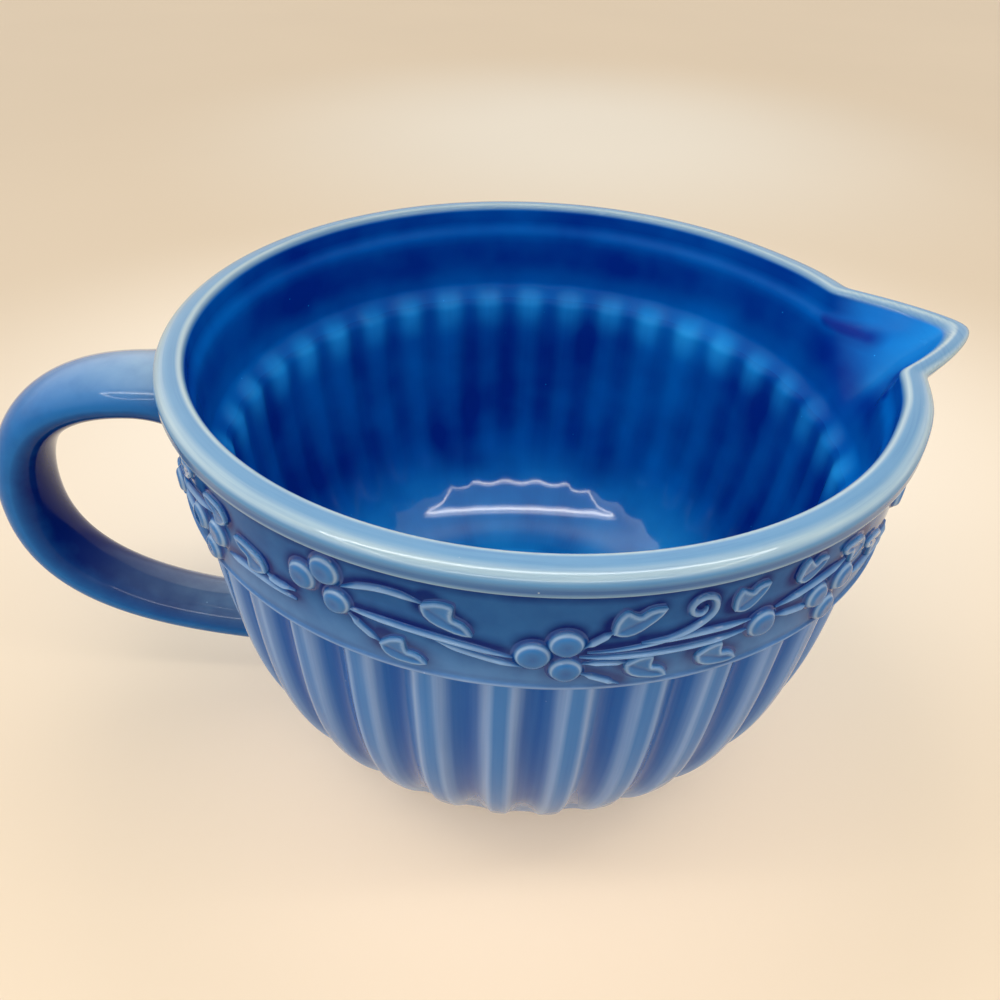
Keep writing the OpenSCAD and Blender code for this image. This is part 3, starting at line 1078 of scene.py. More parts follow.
    def rim_round(self) -> np.ndarray:
        """Draws the rolled rim, from its lower outer edge over the top to its inner edge."""
        form, e = self.form, self.edge_round
        outer, inner, low, top = form.rim_r, form.rim_inner_r, form.rim_z, form.top_z
        knee = (outer - self.knee_w, top - self.knee_drop)
        drawn = Outline(outer - e, low).bend(outer, low, outer, low + e, 5)
        drawn.line(outer, top - self.side_drop, 3).bend(outer, top - self.side_pull, *knee, 10)
        drawn.bend(outer - self.crown_pull, top, inner + self.crown_w, top, 14)
        return drawn.bend(inner, top, inner, top - self.inner_drop, 14).line(inner, low, 4).array()

    def _ring_angles(self, steps: int) -> np.ndarray:
        """Spreads angles round the bowl from one side of the spout to the other, with fine ends."""
        start, hair = self.spout_half * self.spout_seam, math.radians(0.02)
        return fine_ends(np.linspace(start, math.tau - start, steps), hair)

    def _build_band(self, vine: Vine, glaze: bpy.types.Material) -> None:
        """Makes the band, darker round the sprigs, from pooled glaze and painted shade, and with a painted
        shadow under the rim.
        """
        section = np.concatenate([self.band_outside(), self.band_inside()])
        outside = len(self.band_outside())
        angles = self._ring_angles(self.band_steps)
        mesh = loft("frieze_band", self._rings(section, angles), False)
        thins, pools = self._band_glaze(section, outside, angles)
        # Dark glaze round the sprigs: pooled glaze at their feet and painted shade, lifted a little above
        # them.
        near = vine.sprig_pool_and_shade(angles, section[:outside, 1])
        pools[:, :outside] = np.maximum(pools[:, :outside], near)
        keep(mesh, THIN_AND_LIT, thins)
        keep(mesh, POOL_AND_SHADE, pools)
        keep(mesh, INNER, np.tile(np.arange(len(section)) >= outside, len(angles)))
        place(mesh, "frieze_band", Slot.BAND, glaze)

    def _band_glaze(
        self, section: np.ndarray, outside: int, angles: np.ndarray
    ) -> tuple[np.ndarray, np.ndarray]:
        """Says where the glaze is thin and pools on the band, with a painted shadow under the rim and
        painted highlights, reflection and light inside.

        Args:
            section: Rows of radius and height, the outside first.
            outside: Number of rows outside.
            angles: The angles that the section is turned to.

        Returns:
            Both by angle and row.
        """
        z, rim_z = section[:, 1], self.form.rim_z
        up = z - self.form.wall_top_z
        is_out = np.arange(len(section)) < outside
        thin = self.lip_thin * bump_at(up, 0.35 * self.lip_h, 0.3 * self.lip_h)
        thin = np.maximum(thin, self.low_thin * smooth(*self.low_thin_zone, up)) * is_out
        pool = self.lip_pool * bump_at(up, 1.25 * self.lip_h, 0.5 * self.lip_h)
        pool = np.maximum(pool, self.high_pool * smooth(*self.high_pool_zone, up))
        # Painted shadow under the rim's overhang, as dark glaze.
        pool = np.maximum(pool, self.under_rim_painted_shadow * smooth(*self.under_rim_shadow_zone, z - rim_z))
        # Inside: painted highlights on the lobes' tops, a painted reflection on the slope under the rim and
        # painted light low down, each taking off pooled glaze.
        tops = np.outer(np.clip(self.wall.lobes(angles), 0.0, 1.0), self.wall.ledge_left(z) * ~is_out)
        slope = bump_at(z, rim_z - 0.6 * self.inner_slope_h, 0.5 * self.inner_slope_h)
        within = self.inside_pool - self.slope_painted_reflection * slope
        within = within - self.low_light_lift * smooth(*self.low_light_zone, up)
        return thin + self.lobe_painted_highlight * tops, np.where(is_out, pool, within) - self.lobe_pool * tops

    def _rim_glaze(self, section: np.ndarray) -> tuple[np.ndarray, np.ndarray, np.ndarray]:
        """Says where the glaze is thin, with a painted reflection along the lower outer edge, where it
        pools and where it is the inner one, round the rim's section.
        """
        form, r, z = self.form, section[:, 0], section[:, 1]
        over, inwards = z - form.top_z, form.rim_r - r
        at_side = inwards < self.rim_side_w
        on_top = smooth(*self.rim_top_zone, over)
        # A painted reflection of the floor as a pale line along the rim's lower outer edge.
        low = bump_at(z - form.rim_z, *self.low_edge) * at_side
        thins = [
            self.inner_edge_thin * bump_at(r - form.rim_inner_r, *self.inner_edge) * on_top,
            self.outer_edge_thin * bump_at(inwards, *self.outer_edge) * on_top,
            self.low_edge_painted_reflection * low,
            self.rim_top_thin * on_top,
        ]
        outside = smooth(*self.rim_outside_zone, over) * at_side
        inside = smooth(*self.rim_inside_zone, over) * (r < form.rim_inner_r + self.rim_inside_w)
        pool = np.maximum(self.rim_pool * outside - low, self.rim_pool * inside)
        return np.maximum.reduce(thins), pool, inside

    def _build_rim(self, glaze: bpy.types.Material) -> None:
        """Makes the rolled rim."""
        section = self.rim_round()
        angles = self._ring_angles(self.rim_steps)
        mesh = loft("rim_bead", self._rings(section, angles), False)
        for name, row in zip((THIN_AND_LIT, POOL_AND_SHADE, INNER), self._rim_glaze(section)):
            keep(mesh, name, np.tile(row, len(angles)))
        place(mesh, "rim_bead", Slot.RIM, glaze)

    def _rings(self, section: np.ndarray, angles: np.ndarray) -> np.ndarray:
        """Turns a section round the bowl, swelled a little beside the spout and cut by the wall's lobes.

        Args:
            section: Rows of radius and height.
            angles: The angles to turn it to.

        Returns:
            One ring of points for each angle.
        """
        low = self.form.wall_top_z
        level = np.clip((section[:, 1] - low) / (self.form.top_z - low), 0.0, 1.0) ** 2
        aside = np.abs(wrapped(angles))
        swell = self.shoulder_swell * bump_at(aside, self.shoulder_at, self.shoulder_width)
        cuts = self.wall.run_up(angles, section[:, 1]) * (section[:, 0] < self.form.band_inner_r + 2 * MM)
        outs = [section + np.stack([s * level - cut, 0 * level], axis=1) for s, cut in zip(swell, cuts)]
        return np.stack([turned(out, np.array([a]))[0] for out, a in zip(outs, angles)])

    def pull(self, share: np.ndarray, corner: np.ndarray) -> np.ndarray:
        """Says how far the spout is pulled out.

        Args:
            share: Places as shares of the spout's half angle.
            corner: How soft its corners with the bowl are there.

        Returns:
            How far, from 0 beside the spout to 1 at its tip.
        """
        share = np.clip(share, -2.0, 2.0)
        sharp = 1.0 - np.sqrt(share**2 + self.tip_round**2 * np.clip(1.0 - share**2, 0.0, 1.0))
        soft = (sharp + np.sqrt(sharp**2 + corner**2)) / 2
        window = 1.0 - smooth(0.5 * (1 + self.spout_seam), self.spout_seam, np.abs(share))
        return soft * window / (1.0 - self.tip_round)

    def _build_spout(self, band_glaze: bpy.types.Material, rim_glaze: bpy.types.Material) -> None:
        """Makes the spout: the band's and the rim's sections, pulled out more towards the top."""
        outside, rim, inside = self.band_outside(), self.rim_round(), self.band_inside()
        section = np.concatenate([outside, rim, inside])
        steps = np.linspace(-1.0, 1.0, self.spout_steps + 1)
        shares = fine_ends(self.spout_seam * (0.6 * steps + 0.4 * steps**3), self.spout_hair)
        low = self.form.top_z - self.spout_drop
        level = (np.clip(section[:, 1] - low, 0.0, None) / self.spout_drop) ** self.spout_power
        way = np.array([self.spout_reach, self.spout_rise])
        is_in = np.arange(len(section)) >= len(outside) + len(rim)
        below = 1.0 - np.clip(level, 0.0, 1.0)
        rim_thin, rim_pool, rim_in = self._rim_glaze(rim)
        inner = np.concatenate([np.zeros(len(outside)), rim_in, np.ones(len(inside))])
        width = 1.0 - (1.0 - self.spout_narrow + (self.spout_narrow - self.inner_narrow) * inner) * below
        corner = self.corner_round + (self.inner_round - self.corner_round) * below * inner
        angles = self.spout_half * shares
        pulls = np.stack([self.pull(share / width, corner) * level for share in shares])
        rings = [self._rings(section + p[:, None] * way, np.array([a]))[0] for p, a in zip(pulls, angles)]
        mesh = loft("pouring_spout", np.array(rings), False)
        split, blank = len(outside), np.zeros((len(shares), 1))
        band = self._band_glaze(np.concatenate([outside, inside]), split, angles)
        thin, pool = (
            np.concatenate([of_band[:, :split], blank + of_rim, of_band[:, split:]], axis=1)
            for of_band, of_rim in zip(band, (rim_thin, rim_pool))
        )
        # Painted reflection across the spout's throat and painted highlight down its trough, as pale glaze
        # with less pooling.
        throat = smooth(*self.throat_zone, pulls) * inner
        across = np.abs(shares)[:, None] / width
        trough_highlight = bump_at(across, 0.0, self.trough_w) * throat
        # Painted shadow along the spout's far fold, under the rim, as dark glaze.
        fold_shadow = bump_at(section[:, 1], self.form.rim_z - self.fold_shadow_drop, self.fold_shadow_w) * is_in
        fold_shadow = fold_shadow * smooth(*self.fold_shadow_start, across) * smooth(*self.fold_shadow_end, across)
        keep(mesh, THIN_AND_LIT, (thin + self.throat_painted_reflection * throat + self.trough_painted_highlight * trough_highlight) * (1.0 - fold_shadow))
        keep(mesh, POOL_AND_SHADE, np.maximum(pool * (1.0 - self.throat_reflection_lift * throat), fold_shadow))
        keep(mesh, INNER, np.tile(inner, len(shares)))
        mesh.materials.append(rim_glaze)
        mesh.materials.append(band_glaze)
        for face in mesh.polygons:
            row = np.median([v % len(section) for v in face.vertices])
            face.material_index = int(not split <= row <= split + len(rim) - 1)
        place(mesh, "pouring_spout", Slot.RIM)


@dataclass(frozen=True)
class Handle:
    """The loop handle: an oval strap that spreads into the band above and the wall below."""

    form: BowlForm
    width: float = 28 * MM
    low_width: float = 20.5 * MM
    thickness: float = 14.4 * MM
    top_drop: float = 20 * MM
    mid_z: float = 74 * MM
    low_z: float = 22 * MM
    rise_share: float = 0.22
    top_run_share: float = 0.745
    top_fall_share: float = 0.63
    low_fall_share: float = 0.61
    low_run_share: float = 0.58
    low_rise_share: float = 0.08
    flare_share: float = 0.12
    fillet_run: float = 14 * MM
    fillet: float = 2 * MM
    inner_fillet: float = 8 * MM
    sunk: float = 1.5 * MM
    seat: float = 0.02 * MM
    top_painted_highlight: float = 0.6
    joint_pool: float = 0.6
    loop_painted_shade: float = 1.15
    loop_shade_power: float = 0.6
    low_zone: tuple[float, float] = (0.68, 0.95)
    low_shade_lift: float = 0.5
    flare_power: float = 6.0
    end_crowding: float = 0.25
    rail_steps: int = 1200
    sides: int = 72
    rings: int = 150

    @property
    def reach(self) -> float:
        """How far the centre line stands out from the band."""
        return -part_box("handle")[0].x - self.thickness / 2 - self.form.band_r

    def centre_line(self, t: np.ndarray) -> np.ndarray:
        """Gives the strap's centre line.

        Args:
            t: Places along it, from the upper joint at 0 to the lower one at 1.

        Returns:
            Rows of radius and height.
        """
        top = np.array([self.form.band_r, self.form.top_z - self.top_drop])
        mid = np.array([self.form.band_r + self.reach, self.mid_z])
        low = np.array([self.form.wall_r(self.low_z), self.low_z])
        fall, drop, run = top[1] - self.mid_z, self.mid_z - self.low_z, mid[0] - low[0]
        upper = [
            top - self.thickness * np.array([1.0, self.rise_share]),
            top + self.reach * np.array([self.top_run_share, self.rise_share]),
            mid + np.array([0.0, fall * self.top_fall_share]),
            mid,
        ]
        lower = [
            mid,
            mid - np.array([0.0, drop * self.low_fall_share]),
            low + np.array([run * self.low_run_share, drop * self.low_rise_share]),
            low - self.thickness * np.array([1.0, self.low_rise_share]),
        ]
        first, second = bezier(upper, np.clip(2 * t, 0, 1)), bezier(lower, np.clip(2 * t - 1, 0, 1))
        return np.where((t < 0.5)[:, None], first, second)

    def _rails(self, t: np.ndarray) -> tuple[np.ndarray, np.ndarray]:
        """Gives the strap's surface as rails from end to end.

        Args:
            t: Places along the strap.

        Returns:
            Points by place and side, and the direction out of the strap at each.
        """
        middle = self.centre_line(t)
        step = 1e-4
        along = self.centre_line(np.clip(t + step, 0, 1)) - self.centre_line(np.clip(t - step, 0, 1))
        along /= np.linalg.norm(along, axis=1, keepdims=True)
        turn = full_turn(self.sides)
        swell = 1.0 + self.flare_share * np.abs(2 * t - 1) ** self.flare_power
        off = np.outer(swell, np.cos(turn)) * self.thickness / 2
        y = np.outer(swell * (self.width + (self.low_width - self.width) * t), np.sin(turn)) / 2
        points = [-middle[:, :1] + off * along[:, 1:], y, middle[:, 1:] + off * along[:, :1]]
        out_off, out_y = np.cos(turn) / self.thickness, np.sin(turn) / self.width
        length = np.hypot(out_off, out_y)
        out_off, out_y = out_off / length, out_y / length
        outward = [out_off * along[:, 1:], np.tile(out_y, (len(t), 1)), out_off * along[:, :1]]
        return np.stack(points, axis=-1), np.stack(outward, axis=-1)

    def _clearance(self, points: np.ndarray) -> np.ndarray:
        """Gives how far points stand out from the bowl."""
        r, z = np.hypot(points[..., 0], points[..., 1]), points[..., 2]
        wall = self.form.wall_r(np.clip(z, 0.0, self.form.wall_top_z))
        return r - np.where(z > self.form.wall_top_z, self.form.band_r, wall)

    def build(self, glaze: bpy.types.Material) -> None:
        """Makes the piece."""
        fine, index = np.linspace(0.0, 1.0, self.rail_steps), np.arange(self.rail_steps)
        points, outward = self._rails(fine)
        clear = self._clearance(points) > 0
        first, last = clear.argmax(axis=0), len(fine) - 1 - clear[::-1].argmax(axis=0)
        even = np.linspace(0.0, 1.0, self.rings)
        eased = 0.5 - 0.5 * np.cos(math.pi * even)
        eased = 0.5 - 0.5 * np.cos(math.pi * ((1.0 - self.end_crowding) * even + self.end_crowding * eased))
        rings = np.zeros((self.rings, self.sides, 3))
        near = np.zeros((self.rings, self.sides))
        facing = np.clip(-np.cos(full_turn(self.sides)), 0.0, 1.0)
        fillets = self.fillet + (self.inner_fillet - self.fillet) * facing**2
        for side in range(self.sides):
            at = first[side] + eased * (last[side] - first[side])
            rail, out = (
                np.stack([np.interp(at, index, rows[:, side, i]) for i in range(3)], axis=1)
                for rows in (points, outward)
            )
            steps = np.linalg.norm(np.diff(rail, axis=0), axis=1)
            gone = np.concatenate([[0.0], np.cumsum(steps)])
            ends = np.minimum(gone, gone[-1] - gone)
            left = np.clip(1.0 - ends / self.fillet_run, 0.0, 1.0)
            high = np.where(even < 0.5, fillets[side], self.fillet)
            rings[:, side] = rail + out * (high * (1.0 - np.sqrt(1.0 - left**2)))[:, None]
            near[:, side] = left
        mesh = loft("handle", self._seated(rings, near), False)
        shade = np.concatenate([near[:1], near, near[-1:]])
        up = np.clip(outward[np.linspace(0, len(fine) - 1, len(shade)).astype(int), :, 2], 0.0, 1.0)
        # The strap's upper side is painted pale: a painted highlight from above.
        keep(mesh, THIN_AND_LIT, self.top_painted_highlight * up**3)
        along = np.linspace(0.0, 1.0, len(shade))[:, None]
        # The loop's inner side is painted dark as shade, less on the lower arm.
        loop = self.loop_painted_shade * facing[None] ** self.loop_shade_power
        loop = loop * (1.0 - self.low_shade_lift * smooth(*self.low_zone, along))
        keep(mesh, POOL_AND_SHADE, np.maximum(self.joint_pool * shade**2, loop))
        place(mesh, "handle", Slot.HANDLE, glaze)

    def _seated(self, rings: np.ndarray, near: np.ndarray) -> np.ndarray:
        """Seats both ends on the bowl and adds a ring under its surface at each.

        Args:
            rings: Points by place and side.
            near: How near each is to its end, 1 at the end.

        Returns:
            The rings, with one more at each end.
        """
        radial = rings * np.array([1.0, 1.0, 0.0])
        radial /= np.linalg.norm(radial, axis=-1, keepdims=True)
        half = len(rings) // 2
        gaps = np.stack([self._clearance(rings[0]), self._clearance(rings[-1])])
        gap = np.where((np.arange(len(rings)) < half)[:, None], gaps[0], gaps[1])
        seated = rings - radial * ((gap + self.seat) * near**2)[..., None]
        under = [seated[i] - radial[i] * self.sunk for i in (0, -1)]
        return np.concatenate([under[:1], seated, under[1:]])


@dataclass(frozen=True)
class Vine:
    """The trailing vine: berries, leaves, stems and tendrils laid out flat and wrapped round the band.

    Places are shares: of one repeat along the band, and of the vine's height up it. The names that end
    in thin or pool say how strongly the glaze does so there.
    """

    form: BowlForm
    start: float = math.radians(-145)
    height: float = 25.5 * MM
    berry_d: float = 7.3 * MM
    berry_h: float = 1.8 * MM
    leaf_w: float = 6.6 * MM
    leaf_h: float = 0.95 * MM
    stem_w: float = 2.1 * MM
    stem_h: float = 1.05 * MM
    stem_run_on: float = 1.5 * MM
    tendril_r: float = 3.6 * MM
    tendril_turns: float = 1.15
    tendril_core_share: float = 0.3
    tendril_from: float = math.radians(-48)
    tendril_lead_run: float = 8 * MM
    skirt: float = 0.8 * MM
    sunk: float = 0.35 * MM
    spout_zone: float = math.radians(17.3)
    handle_zone: float = math.radians(11.1)
    halo: float = 2.1 * MM
    halo_shade_lift: float = 1.1 * MM
    halo_fine: int = 4
    halo_leaf_discs: int = 6
    halo_leaf_base: float = 0.45
    halo_leaf_taper: float = 0.3
    stem_thin: float = 0.5
    stem_thin_zone: tuple[float, float] = (0.25, 0.8)
    stem_pool: float = 0.85
    stem_pool_zone: tuple[float, float] = (0.5, 0.0)
    tip_share: float = 0.35
    taper_share: float = 0.22
    taper_power: float = 0.7
    dome_share: float = 0.93
    dome_flat: float = 4.5
    dome_round: float = 0.6
    dome_foot: float = 0.42
    dimple: float = 0.07
    dimple_w: float = 0.55
    dimple_pool: float = 0.4
    berry_thin: float = 0.7
    berry_size_drift: float = 0.05
    berry_oval: float = 0.04
    skirt_pool: float = 0.9
    skirt_power: float = 2.2
    leaf_edge_foot: float = 0.2
    leaf_sink: float = 0.16
    leaf_thin: float = 0.45
    leaf_sunk_pool: float = 0.15
    leaf_foot_pool: float = 0.85
    rib_w: float = 0.45 * MM
    rib_pool: float = 0.35
    stem_steps: int = 25
    stem_sides: int = 28
    lead_steps: int = 30
    curl_steps: int = 60
    berry_sides: int = 40
    leaf_rows: int = 61
    leaf_columns: int = 31
    leaf_fine: int = 400
    leaf_rounding: int = 19
    berries: tuple[tuple[float, float], ...] = (
        (0.229, 0.68), (0.268, 0.84), (0.283, 0.55),
        (0.55, 0.4), (0.592, 0.541), (0.594, 0.25),
        (0.87, 0.412),
        (0.976, 0.42), (1.035, 0.45), (1.008, 0.18),
    )
    leaves: tuple[tuple[tuple[float, float], tuple[float, float]], ...] = (
        ((0.405, 0.8), (0.472, 0.55)),
        ((0.345, 0.25), (0.412, 0.14)),
        ((0.65, 0.64), (0.716, 0.87)),
        ((0.672, 0.29), (0.733, 0.1)),
        ((0.772, 0.26), (0.839, 0.1)),
        ((0.815, 0.68), (0.865, 0.89)),
        ((0.917, 0.76), (0.972, 0.88)),
        ((0.155, 0.45), (0.089, 0.63)),
        ((0.072, 0.7), (0.011, 0.81)),
    )
    leaf_left: tuple[tuple[float, float], ...] = (
        (0.0, 0.12), (0.05, 0.4), (0.14, 0.8), (0.26, 1.12), (0.38, 1.28), (0.44, 1.22), (0.5, 0.7),
        (0.56, 0.42), (0.64, 0.48), (0.74, 0.52), (0.86, 0.4), (0.95, 0.2), (1.0, 0.06),
    )
    leaf_right: tuple[tuple[float, float], ...] = (
        (0.0, 0.1), (0.06, 0.42), (0.16, 0.68), (0.3, 0.8), (0.45, 0.78), (0.6, 0.66), (0.75, 0.54),
        (0.88, 0.36), (0.96, 0.18), (1.0, 0.06),
    )
    leaf_length: float = 11 * MM
    leaf_edge_w: float = 0.75 * MM
    stems: tuple[tuple[tuple[float, float], ...], ...] = (
        ((0.3, 0.75), (0.35, 0.9), (0.4, 0.81)),
        ((0.305, 0.43), (0.32, 0.35), (0.34, 0.27)),
        ((0.3, 0.52), (0.43, 0.5), (0.515, 0.37)),
        ((0.43, 0.42), (0.48, 0.34), (0.53, 0.27)),
        ((0.62, 0.51), (0.636, 0.58), (0.647, 0.63)),
        ((0.62, 0.38), (0.73, 0.36), (0.84, 0.39)),
        ((0.7, 0.5), (0.77, 0.52), (0.84, 0.5)),
        ((0.623, 0.31), (0.65, 0.32), (0.668, 0.3)),
        ((0.62, 0.18), (0.64, 0.13), (0.66, 0.07)),
        ((0.9, 0.54), (0.965, 0.62), (1.02, 0.65)),
        ((0.9, 0.42), (0.93, 0.38), (0.955, 0.365)),
        ((0.07, 0.33), (0.12, 0.38), (0.2, 0.33)),
        ((0.16, 0.43), (0.172, 0.4), (0.2, 0.42)),
    )
    tendril_start: tuple[float, float] = (0.62, 0.43)
    tendril_centre: tuple[float, float] = (0.765, 0.8)

    def flat(self, side: Side, shares: Sequence[Sequence[float]]) -> np.ndarray:
        """Gives places on the flat layout.

        Args:
            side: The repeat.
            shares: Places as shares.

        Returns:
            Rows of length along the band and height.
        """
        places = np.atleast_2d(np.array(shares, dtype=float))
        angle = self.start + math.tau / len(Side) * (side.value + places[:, 0])
        height = self.form.wall_top_z + self.height * places[:, 1]
        return np.stack([angle * self.form.band_r, height], axis=1)

    def clear(self, flat: np.ndarray) -> bool:
        """Says whether all these places are clear of the spout and the handle."""
        angle = np.abs(wrapped(flat[:, 0] / self.form.band_r))
        return bool(np.all((angle > self.spout_zone) & (math.pi - angle > self.handle_zone)))

    def berry_places(self, side: Side) -> np.ndarray:
        """Gives the berries of one repeat that are clear of the spout and the handle."""
        places = self.flat(side, self.berries)
        return places[[self.clear(p[None]) for p in places]]

    def leaf_lines(self, side: Side) -> list[np.ndarray]:
        """Gives each clear leaf of one repeat, from its base to its tip."""
        return [line for line in (self.flat(side, leaf) for leaf in self.leaves) if self.clear(line)]

    def stem_lines(self, side: Side) -> list[np.ndarray]:
        """Gives each clear stem of one repeat as a line of points."""
        lines = (self.flat(side, stem) for stem in self.stems)
        t = np.linspace(0.0, 1.0, self.stem_steps)
        return [self._run_on(bezier(line, t)) for line in lines if self.clear(line)]

    def _run_on(self, line: np.ndarray) -> np.ndarray:
        """Runs a line on a little at both ends, into what it joins."""
        first, last = line[0] - line[1], line[-1] - line[-2]
        ends = [v * (self.stem_run_on / np.linalg.norm(v)) for v in (first, last)]
        return np.concatenate([line[:1] + ends[0], line, line[-1:] + ends[1]])

    def tendril_line(self, side: Side) -> np.ndarray:
        """Gives a tendril's line: its stem, then its curl from the outside in."""
        centre = self.flat(side, self.tendril_centre)[0]
        t = np.linspace(0.0, 1.0, self.curl_steps)
        turn = math.tau * self.tendril_turns * t + self.tendril_from
        radius = self.tendril_r * (1.0 + (self.tendril_core_share - 1.0) * t)
        curl = centre + radius[:, None] * np.stack([np.cos(turn), np.sin(turn)], axis=1)
        back = curl[0] - curl[1]
        bend = curl[0] + back * (self.tendril_lead_run / np.linalg.norm(back))
        lead = np.stack([self.flat(side, self.tendril_start)[0], bend, curl[0]])
        return np.concatenate([bezier(lead, np.linspace(0.0, 1.0, self.lead_steps))[:-1], curl])

    def sprig_pool_and_shade(self, angles: np.ndarray, heights: np.ndarray) -> np.ndarray:
        """Says how dark the band is round the sprigs, from glaze pooled at their feet and painted shade
        that lies a little above them.

        Args:
            angles: Angles of the places.
            heights: Heights of the places.

        Returns:
            By angle and height, 1 against a sprig and 0 well away from it.
        """
        discs = [(p, self.berry_d / 2) for side in Side for p in self.berry_places(side)]
        for side in Side:
            lines = [*self.stem_lines(side), self.tendril_line(side)]
            for line in filter(self.clear, lines):
                steps = np.linspace(0, len(line) - 1, self.halo_fine * len(line))
                fine = np.stack([np.interp(steps, np.arange(len(line)), row) for row in line.T], axis=1)
                discs += [(p, self.stem_w / 3) for p in fine]
            for base, tip in self.leaf_lines(side):
                for share in np.linspace(0.1, 0.8, self.halo_leaf_discs):
                    radius = self.leaf_w * (self.halo_leaf_base - self.halo_leaf_taper * share)
                    discs.append((base + (tip - base) * share, radius))
        near = np.zeros((len(angles), len(heights)))
        for (along, height), radius in discs:
            off = wrapped(angles - along / self.form.band_r)
            here = np.abs(off) * self.form.band_r < radius + 4 * self.halo
            up = heights[None] - height - self.halo_shade_lift
            gap = np.hypot(off[here][:, None] * self.form.band_r, up) - radius
            near[here] = np.maximum(near[here], np.exp(-np.clip(gap, 0.0, None) / self.halo))
        return near

    def build(self, glaze: bpy.types.Material) -> None:
        """Makes the berries, leaves, stems and tendrils of every repeat."""
        berry, leaf = self._berry_mesh(), self._leaf_mesh()
        for side in Side:
            name = side.name.lower()
            self._lay_out(f"berries_{name}", berry, self._berry_points(side), glaze)
            self._lay_out(f"leaves_{name}", leaf, self._leaf_points(side), glaze)
            self._sweep(f"stems_{name}", self.stem_lines(side), glaze)
            tendril = f"tendril_{name}"
            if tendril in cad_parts:
                self._sweep(tendril, [self.tendril_line(side)], glaze)

    def _wrap(self, tree: GeometryTree, geometry: Wire) -> Wire:
        """Wraps the flat layout round the band."""
        band = tree.size("Band radius", self.form.band_r)
        along, height, out = tree.split(tree.wire("GeometryNodeInputPosition"))
        return tree.moved(geometry, tree.around(along / band, band + out, height))

    def _lay_out(
        self, name: str, sprig: bpy.types.Mesh, points: bpy.types.Mesh, glaze: bpy.types.Material
    ) -> None:
        """Sets one sprig on every point of the flat layout and wraps them round the band.

        Args:
            name: The piece's name, and its solid's.
            sprig: The sprig's mesh, lying flat at the origin.
            points: The points, each with its turn and its stretch.
            glaze: The finish.
        """
        tree = GeometryTree(name)
        model = bpy.data.objects.new("sprig", sprig)
        shape = tree.size("Sprig", model, "NodeSocketObject")
        flat = tree.wire("GeometryNodeObjectInfo", "Geometry", None, {"Object": shape})
        turn = tree.wire("FunctionNodeEulerToRotation", 0, None, {0: tree.stored("turn", "FLOAT_VECTOR")})
        inputs = {
            "Points": tree.geometry(),
            "Instance": flat,
            "Rotation": turn,
            "Scale": tree.stored("stretch", "FLOAT_VECTOR"),
        }
        sprigs = tree.wire("GeometryNodeInstanceOnPoints", 0, None, inputs)
        real = tree.wire("GeometryNodeRealizeInstances", 0, None, {"Geometry": sprigs})
        mesh = tree.bake(self._wrap(tree, real), glaze, points)
        bpy.data.objects.remove(model)
        place(mesh, name, Slot.SPRIG)

    def _sweep(self, name: str, lines: Sequence[np.ndarray], glaze: bpy.types.Material) -> None:
        """Draws raised lines on the flat layout and wraps them round the band.

        Args:
            name: The piece's name, and its solid's.
            lines: The lines, as rows of length and height.
            glaze: The finish.
        """
        tree = GeometryTree(name)
        half = tree.size("Half width", self.stem_w / 2)
        high, deep = tree.size("Height", self.stem_h), tree.size("Depth under the surface", self.sunk)
        sizes = {"Resolution": self.stem_sides, "Radius": 1.0}
        circle = tree.wire("GeometryNodeCurvePrimitiveCircle", 0, None, sizes)
        x, y, _ = tree.split(tree.wire("GeometryNodeInputPosition"))
        crest = tree.math("COSINE", x * (math.pi / 2))
        up = y > -1e-4
        section = tree.vector(x * half, (up - 1.0) * y * deep - up * crest * crest * high, 0.0)
        line = tree.wire("GeometryNodeMeshToCurve", 0, None, {0: tree.geometry()})
        upright = tree.wire("GeometryNodeSetCurveNormal", 0, {"mode": "Z_UP"}, {0: line})
        inputs = {0: upright, 1: tree.moved(circle, section)}
        inputs |= {"Scale": tree.stored("taper"), "Fill Caps": True}
        raised = tree.wire("GeometryNodeCurveToMesh", 0, None, inputs)
        out = tree.split(tree.wire("GeometryNodeInputPosition"))[2] / high
        raised = tree.store(raised, THIN_AND_LIT, tree.ease(*self.stem_thin_zone, out) * self.stem_thin)
        raised = tree.store(raised, POOL_AND_SHADE, tree.ease(*self.stem_pool_zone, out) * self.stem_pool)
        mesh = tree.bake(self._wrap(tree, raised), glaze, self._line_mesh(lines))
        outwards(mesh)
        place(mesh, name, Slot.SPRIG)

    def _line_mesh(self, lines: Sequence[np.ndarray]) -> bpy.types.Mesh:
        """Makes a mesh of lines, each tapered towards its ends."""
        points, edges, taper = [], [], []
        for line in lines:
            first = len(points)
            points += [(x, y, 0.0) for x, y in line]
            edges += [(first + i, first + i + 1) for i in range(len(line) - 1)]
            share = np.linspace(0.0, 1.0, len(line))
            full = np.clip(np.minimum(share, 1.0 - share) / self.taper_share, 0.0, 1.0)
            taper.append(self.tip_share + (1.0 - self.tip_share) * full**self.taper_power)
        mesh = bpy.data.meshes.new("lines")
        mesh.from_pydata(points, edges, [])
        keep(mesh, "taper", np.concatenate(taper))
        return mesh

    @staticmethod
    def _point_mesh(places: np.ndarray, turns: np.ndarray, stretches: np.ndarray) -> bpy.types.Mesh:
        """Makes a mesh of points with a turn and a stretch each."""
        mesh = bpy.data.meshes.new("points")
        mesh.from_pydata([(x, y, 0.0) for x, y in places], [], [])
        turn = np.stack([np.zeros_like(turns), np.zeros_like(turns), turns], axis=1)
        for name, rows in (("turn", turn), ("stretch", stretches)):
            made = mesh.attributes.new(name, "FLOAT_VECTOR", "POINT")
            made.data.foreach_set("vector", np.ascontiguousarray(rows, dtype=np.float32).ravel())
        return mesh

